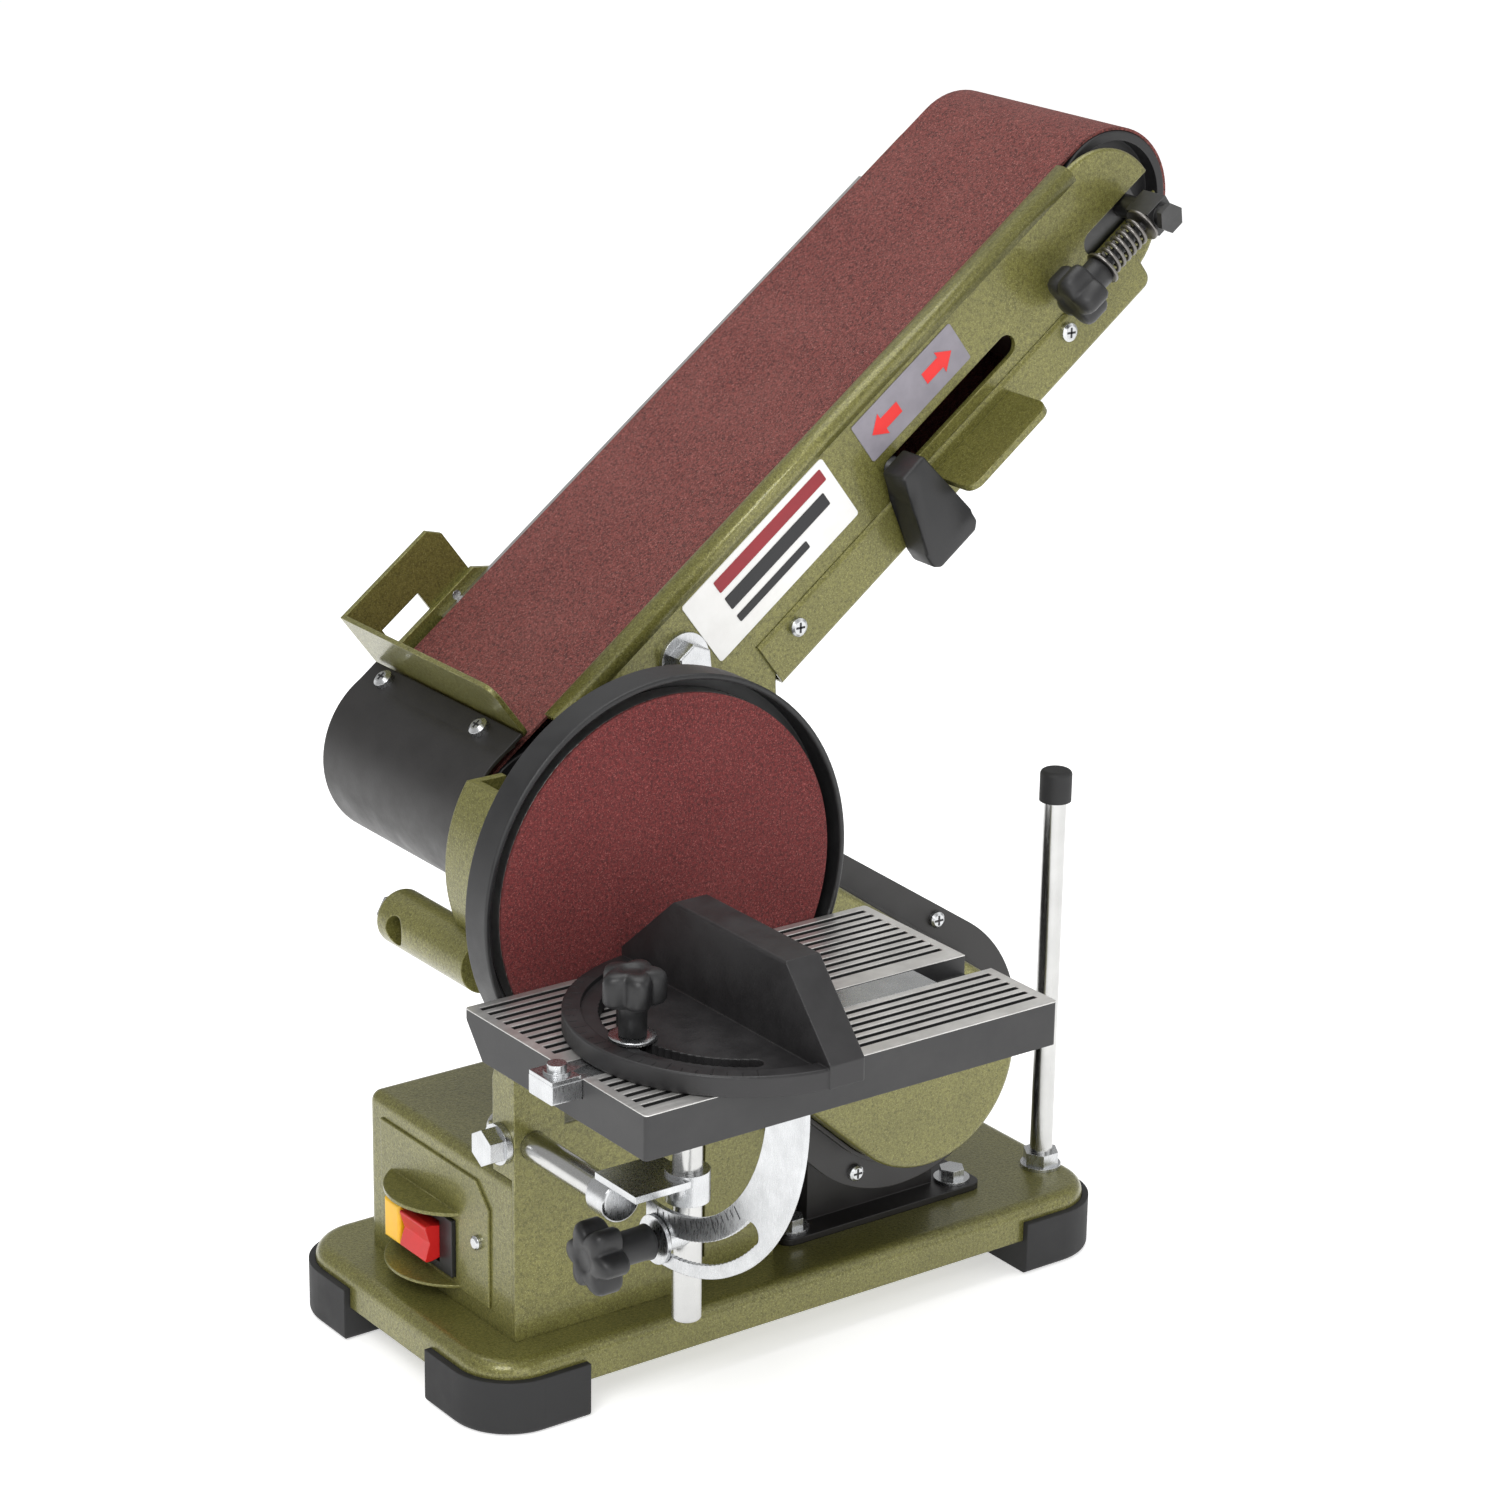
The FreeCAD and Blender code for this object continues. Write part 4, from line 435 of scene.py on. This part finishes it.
def rounded(x0, y0, x1, y1, r, steps=5):
    """Outline of a rectangle with round corners."""
    points = []
    corners = ((x1 - r, y1 - r), (x0 + r, y1 - r), (x0 + r, y0 + r), (x1 - r, y0 + r))
    for quarter, (cx, cy) in enumerate(corners):
        for n in range(steps + 1):
            a = math.radians(90 * (quarter + n / steps))
            points.append((cx + r * math.cos(a), cy + r * math.sin(a)))
    return points


# ------------------------------------------------------------------ knobs
LOBE_STEPS = 96
LOBE_SHAPE = 0.62           # below 1 the lobes are broad and the valleys narrow
LOBE_DEPTH = 0.30           # a valley's depth as a share of the radius
THREAD_STEP = 0.5           # half the pitch of the stud's thread, in millimetres
THREAD_DEPTH = 0.35
KNOB = ((0.50, 0.0, 0.3), (0.80, 0.15, 0.9), (0.93, 0.9, 1.0), (1.0, 2.4, 1.0), (1.0, 9.6, 1.0),
        (0.95, 11.6, 1.0), (0.84, 12.8, 1.0), (0.60, 13.5, 0.8), (0.36, 13.3, 0.3), (0.30, 12.7, 0.0))


def knob(name, body, at, along, radius, count, neck, stud, replaced):
    """Lobed head, neck of (radius, height) rows and a stud of (start, end, radius)."""
    mesh = bmesh.new()
    place = frame_to(at, along)
    lobed(mesh, place, radius, count, KNOB, LOBE_DEPTH)
    lathe(mesh, neck, place)
    thread = []
    start, end, size = stud
    turns = int(abs(end - start) / THREAD_STEP)
    for n in range(turns + 1):
        height = start + (end - start) * n / turns
        thread.append((size - (THREAD_DEPTH if n % 2 else 0.0), height))
    lathe(mesh, thread, place, 24)
    return keep(mesh, name, body, BLACK_PLASTIC, True, (replaced,))


LOCK_HEAD = 0.0135          # metres from the table lock knob's end to the foot of its head
MITRE_HEAD = 0.0155         # the same for the mitre knob
MITRE_WASHER = 0.0295       # and down to the mitre knob's washer
lock_at = middle("table_lock_knob")
lock_at.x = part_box("table_lock_knob")[0][0] + LOCK_HEAD
LOCK_NECK = ((7.0, 0.6), (7.2, 0), (6.8, -2), (6.9, -14.0), (7.3, -16.6), (7.0, -16.9))
knob("lock_knob_head", "table_lock", lock_at, (-1, 0, 0), 15, 6, LOCK_NECK, (-14, -36.5, 3.9),
     "table_lock_knob")

mitre_top = middle("mitre_knob")
mitre_top.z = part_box("mitre_knob")[1][2]
MITRE_NECK = ((5.6, 0.5), (5.4, -1), (5.3, -12.2))
knob("mitre_knob_head", "mitre_lock", mitre_top - Vector((0, 0, MITRE_HEAD)), (0, 0, 1), 12.5, 5,
     MITRE_NECK, (-12, -27.5, 2.95), "mitre_knob")
mesh = bmesh.new()
lathe(mesh, ((8.6, -0.05), (9.0, 0.15), (9.0, 1.35), (8.7, 1.6), (5.6, 1.62)),
      Matrix.Translation(mitre_top - Vector((0, 0, MITRE_WASHER))))
keep(mesh, "mitre_washer", "mitre_lock", ZINC)

TRACK_Y = 62                # the tracking screw's axis, in millimetres across the arm
TRACK_NECK = ((7.2, 0.5), (7.0, 0), (6.6, -1.5), (6.7, -7.6), (6.2, -8.0))
knob("tracking_knob_head", "tracking", on_arm(IDLER_S - 42, TRACK_Y, 0), -ARM_ALONG, 13.4, 5,
     TRACK_NECK, (-8, -36.4, 2.5), "tracking_knob")


# ------------------------------------------------------------------ tracking spring
COIL_TURNS = 6.5
COIL_STEPS = 20             # points in one turn
COIL_START = IDLER_S - 31.1
COIL_LENGTH = 22.3
COIL_RADIUS = 5.3
WIRE_RADIUS = 0.95
WASHER_STARTS = (-33.7, -7.6)

mesh = bmesh.new()
wire = []
coil_points = COIL_TURNS * COIL_STEPS
for n in range(int(coil_points) + 1):
    a = 2 * math.pi * n / COIL_STEPS
    wire.append(on_arm(COIL_START + COIL_LENGTH * n / coil_points,
                       TRACK_Y + COIL_RADIUS * math.sin(a), COIL_RADIUS * math.cos(a)))
tube(mesh, wire, WIRE_RADIUS)
for start in WASHER_STARTS:
    place = frame_to(on_arm(IDLER_S + start, TRACK_Y, 0), ARM_ALONG)
    lathe(mesh, ((7.7, 0), (8.0, 0.25), (8.0, 1.15), (7.7, 1.4)), place)
keep(mesh, "tracking_coil", "idler_carriage", WIRE, True, ("tracking_spring",))


# ------------------------------------------------------------------ tension lever and side rail
def across(y):
    """A plane along and above the arm, y millimetres across it, facing its near side."""
    return ARM @ Matrix.Translation((0, y / 1000, 0)) @ Matrix.Rotation(math.radians(90), 4, "X")


PADDLE = ((199, 3), (213, 3), (214, -10), (217, -33), (217, -40), (214, -43), (192, -43), (189, -40),
          (189, -33), (197, -10))
mesh = bmesh.new()
slab(mesh, PADDLE, 14.6, across(74.8))
bmesh.ops.bevel(mesh, geom=mesh.edges[:], offset=0.0015, segments=3, profile=0.5, affect="EDGES")
lathe(mesh, ((4.9, 0), (4.9, 66)), frame_to(on_arm(206, 73, -3), (0, 1, 0)))
lathe(mesh, ((10.6, 0), (11, 0.4), (11, 11.6), (10.6, 12)), frame_to(on_arm(209, 104.5, -3), (0, 1, 0)))
keep(mesh, "lever_paddle", "tension", BLACK_PLASTIC, True, ("tension_lever",))

RAIL = ((77.7, 29.0), (77.6, 32.4), (78.1, 34.2), (79.3, 35.3), (81.4, 36.0), (83.8, 36.1),
        (85.8, 35.7), (87.0, 34.9), (87.0, 34.0), (79.0, 34.0), (78.4, 29.0))
RAIL_ENDS = (27.4, 345.6)
mesh = bmesh.new()
skin(mesh, [[mesh.verts.new(on_arm(s, y, h)) for y, h in RAIL] for s in RAIL_ENDS])
keep(mesh, "side_rail", "belt_arm", GREEN)


# ------------------------------------------------------------------ plates and labels on the arm
def arm_plate(name, paint, outline, lift, thick=0.25):
    """A thin shape on the near side plate; outline in (s, h) millimetres."""
    mesh = bmesh.new()
    slab(mesh, outline, thick, across(lift))
    return keep(mesh, name, "belt_arm", paint, False)


def arrow(tip, way):
    """Outline of an arrow along the arm, whose shaft runs from its tip towards way."""
    neck, tail = tip + 7 * way, tip + 17 * way
    return [(tip, 17), (neck, 22.6), (neck, 19.8), (tail, 19.8), (tail, 14.2), (neck, 14.2), (neck, 11.4)]


PLATE_Y = 77.4
LABEL_Y = 77.5
BAR_START = 113
for name, ink, end, low, high in (("plate_band", MAROON, 178.5, 19.0, 25.0),
                                  ("plate_bar_long", INK, 174, 9.2, 15.6),
                                  ("plate_bar_short", INK, 156, 1.8, 5.4)):
    arm_plate(name, ink, rounded(BAR_START, low, end, high, 0.6), PLATE_Y)
for tip, way in ((206, 1), (256, -1)):
    arm_plate("arrow_ink_%d" % tip, ARROW_RED, arrow(tip, way), LABEL_Y, 0.3)


# ------------------------------------------------------------------ scales
def tick(mesh, at, out, face, length, width=0.5):
    """A thin mark that runs along out from a place, on a surface that looks along face."""
    place = Matrix.Translation(at) @ Matrix((out.cross(face), out, face)).transposed().to_4x4()
    slab(mesh, [(-width / 2, 0), (width / 2, 0), (width / 2, length), (-width / 2, length)], 0.12, place)


LONG_EVERY = 15             # degrees from one long mark to the next
SHORT = 3.0
LEAF = local(-17, -19, -54)     # the quadrant's centre, on its outer face
LEAF_INNER = 0.0712
mesh = bmesh.new()
for step in range(0, 46, 3):
    a = math.radians(step)
    out = Vector((0, -math.sin(a), -math.cos(a)))
    tick(mesh, LEAF + out * LEAF_INNER, out, Vector((-1, 0, 0)), SHORT if step % LONG_EVERY else 5.5)
keep(mesh, "tilt_scale", "table", INK, False)

HEAD = local(-19, -74, -20.1)   # the mitre gauge's pivot, on top of its rim
RIM_OUTER = 0.065
mesh = bmesh.new()
for step in range(-60, 61, 5):
    a = math.radians(180 + step)
    size = SHORT if step % LONG_EVERY else 5.0
    out = Vector((math.cos(a), math.sin(a), 0))
    tick(mesh, HEAD + out * (RIM_OUTER - size / 1000), out, Vector((0, 0, 1)), size)
keep(mesh, "mitre_scale", "mitre_gauge", BLACK_CAST, False)


# ------------------------------------------------------------------ screw recesses, as painted shade
def cross(mesh, at, along, size=2.2):
    """The painted shade of a pan-head screw's cross recess: a thin dark cross laid on the head."""
    place = frame_to(at, along)
    for turn in (0, 90):
        slab(mesh, [(-size, -0.45), (size, -0.45), (size, 0.45), (-size, 0.45)], 0.12,
             place @ Matrix.Rotation(math.radians(turn), 4, "Z"))


NEAR_SIDE = (0, -1, 0)
BACKPLATE_SCREWS = ((107, -154), (136, -178), (176, -71), (-30, -28))
BACKPLATE_HEAD_Y = 51.6     # outer face of the screw heads on the belt's back plate
ARM_HEAD_Y = 73.6           # outer face of those on the arm's near plate
DRUM_HEAD_H = 41.2          # outer face of those on the drum cover, above the arm
# dark crosses of painted shade where the back plate screws' cross recesses are
mesh = bmesh.new()
for x, z in BACKPLATE_SCREWS:
    cross(mesh, local(x, BACKPLATE_HEAD_Y, z), NEAR_SIDE)
keep(mesh, "cover_screw_recess_shade", "machine", INK, False)
# dark crosses of painted shade where the arm and drum cover screws' cross recesses are
mesh = bmesh.new()
for s in (131, 305):
    cross(mesh, on_arm(s, ARM_HEAD_Y, -20), NEAR_SIDE)
for y in (108, 181):
    cross(mesh, on_arm(8, y, DRUM_HEAD_H), ARM_UP, 1.9)
keep(mesh, "arm_screw_recess_shade", "belt_arm", INK, False)


# ------------------------------------------------------------------ floor
def floor_paper():
    """White paper that gives off some light, so that it stays white in the shade."""
    p = Paint("floor_paper", (0.93, 0.93, 0.93, 1), 0.9)
    tone = p.ramp(p.noise(400, 2), (0.3, (0.93, 0.93, 0.93, 1)), (0.7, (0.95, 0.95, 0.95, 1)))
    p.set("Base Color", tone)
    p.set("Emission Color", (1, 1, 1, 1))
    p.set("Emission Strength", 0.50)
    return p.mat


FLOOR_GAP = 0.0004          # between the feet and the paper, in metres
bpy.ops.mesh.primitive_plane_add(size=60, location=(0, 0, cad_box[0][2] - FLOOR_GAP))
floor = bpy.context.object
floor.name = "floor"
floor.data.materials.append(floor_paper())


# ------------------------------------------------------------------ lights
def lamp(name, at, target, size, power):
    """A square lamp that looks from a place at a target; metres and watts."""
    data = bpy.data.lights.new(name, "AREA")
    data.shape = "SQUARE"
    data.size = size
    data.energy = power
    light = bpy.data.objects.new(name, data)
    light.matrix_world = frame_to(Vector(at), Vector(at) - Vector(target))
    bpy.context.scene.collection.objects.link(light)


AIM = (0, 0, 0.22)
lamp("key", (-1.5, -1.2, 1.9), AIM, 1.1, 32)
lamp("fill", (1.7, -1.5, 1.1), AIM, 1.6, 8)
lamp("top", (0.1, 0.3, 2.2), AIM, 1.6, 20)
lamp("front", (-0.5, -2.2, 0.7), AIM, 1.2, 9)
world = bpy.data.worlds.new("studio")
world.use_nodes = True
sky = world.node_tree.nodes["Background"].inputs
sky["Color"].default_value = (1, 1, 1, 1)
sky["Strength"].default_value = 0.50
bpy.context.scene.world = world
bpy.context.scene.view_settings.view_transform = "Standard"


# ------------------------------------------------------------------ camera
camera_data = bpy.data.cameras.new("camera")
camera_data.lens = 99.8
camera_data.sensor_width = 36
camera_data.clip_end = 50
camera = bpy.data.objects.new("camera", camera_data)
CAMERA_AT = local(-855.0, -1220.2, 575.0)
HEADING = 53.806           # degrees from +X that the camera looks along
DIP = 19.245               # degrees that it looks down
ROLL = 0.868               # degrees that it leans
turn = (Matrix.Rotation(math.radians(HEADING - 90), 4, "Z")
        @ Matrix.Rotation(math.radians(90 - DIP), 4, "X")
        @ Matrix.Rotation(math.radians(ROLL), 4, "Z"))
camera.matrix_world = Matrix.Translation(CAMERA_AT) @ turn
bpy.context.scene.collection.objects.link(camera)
bpy.context.scene.camera = camera
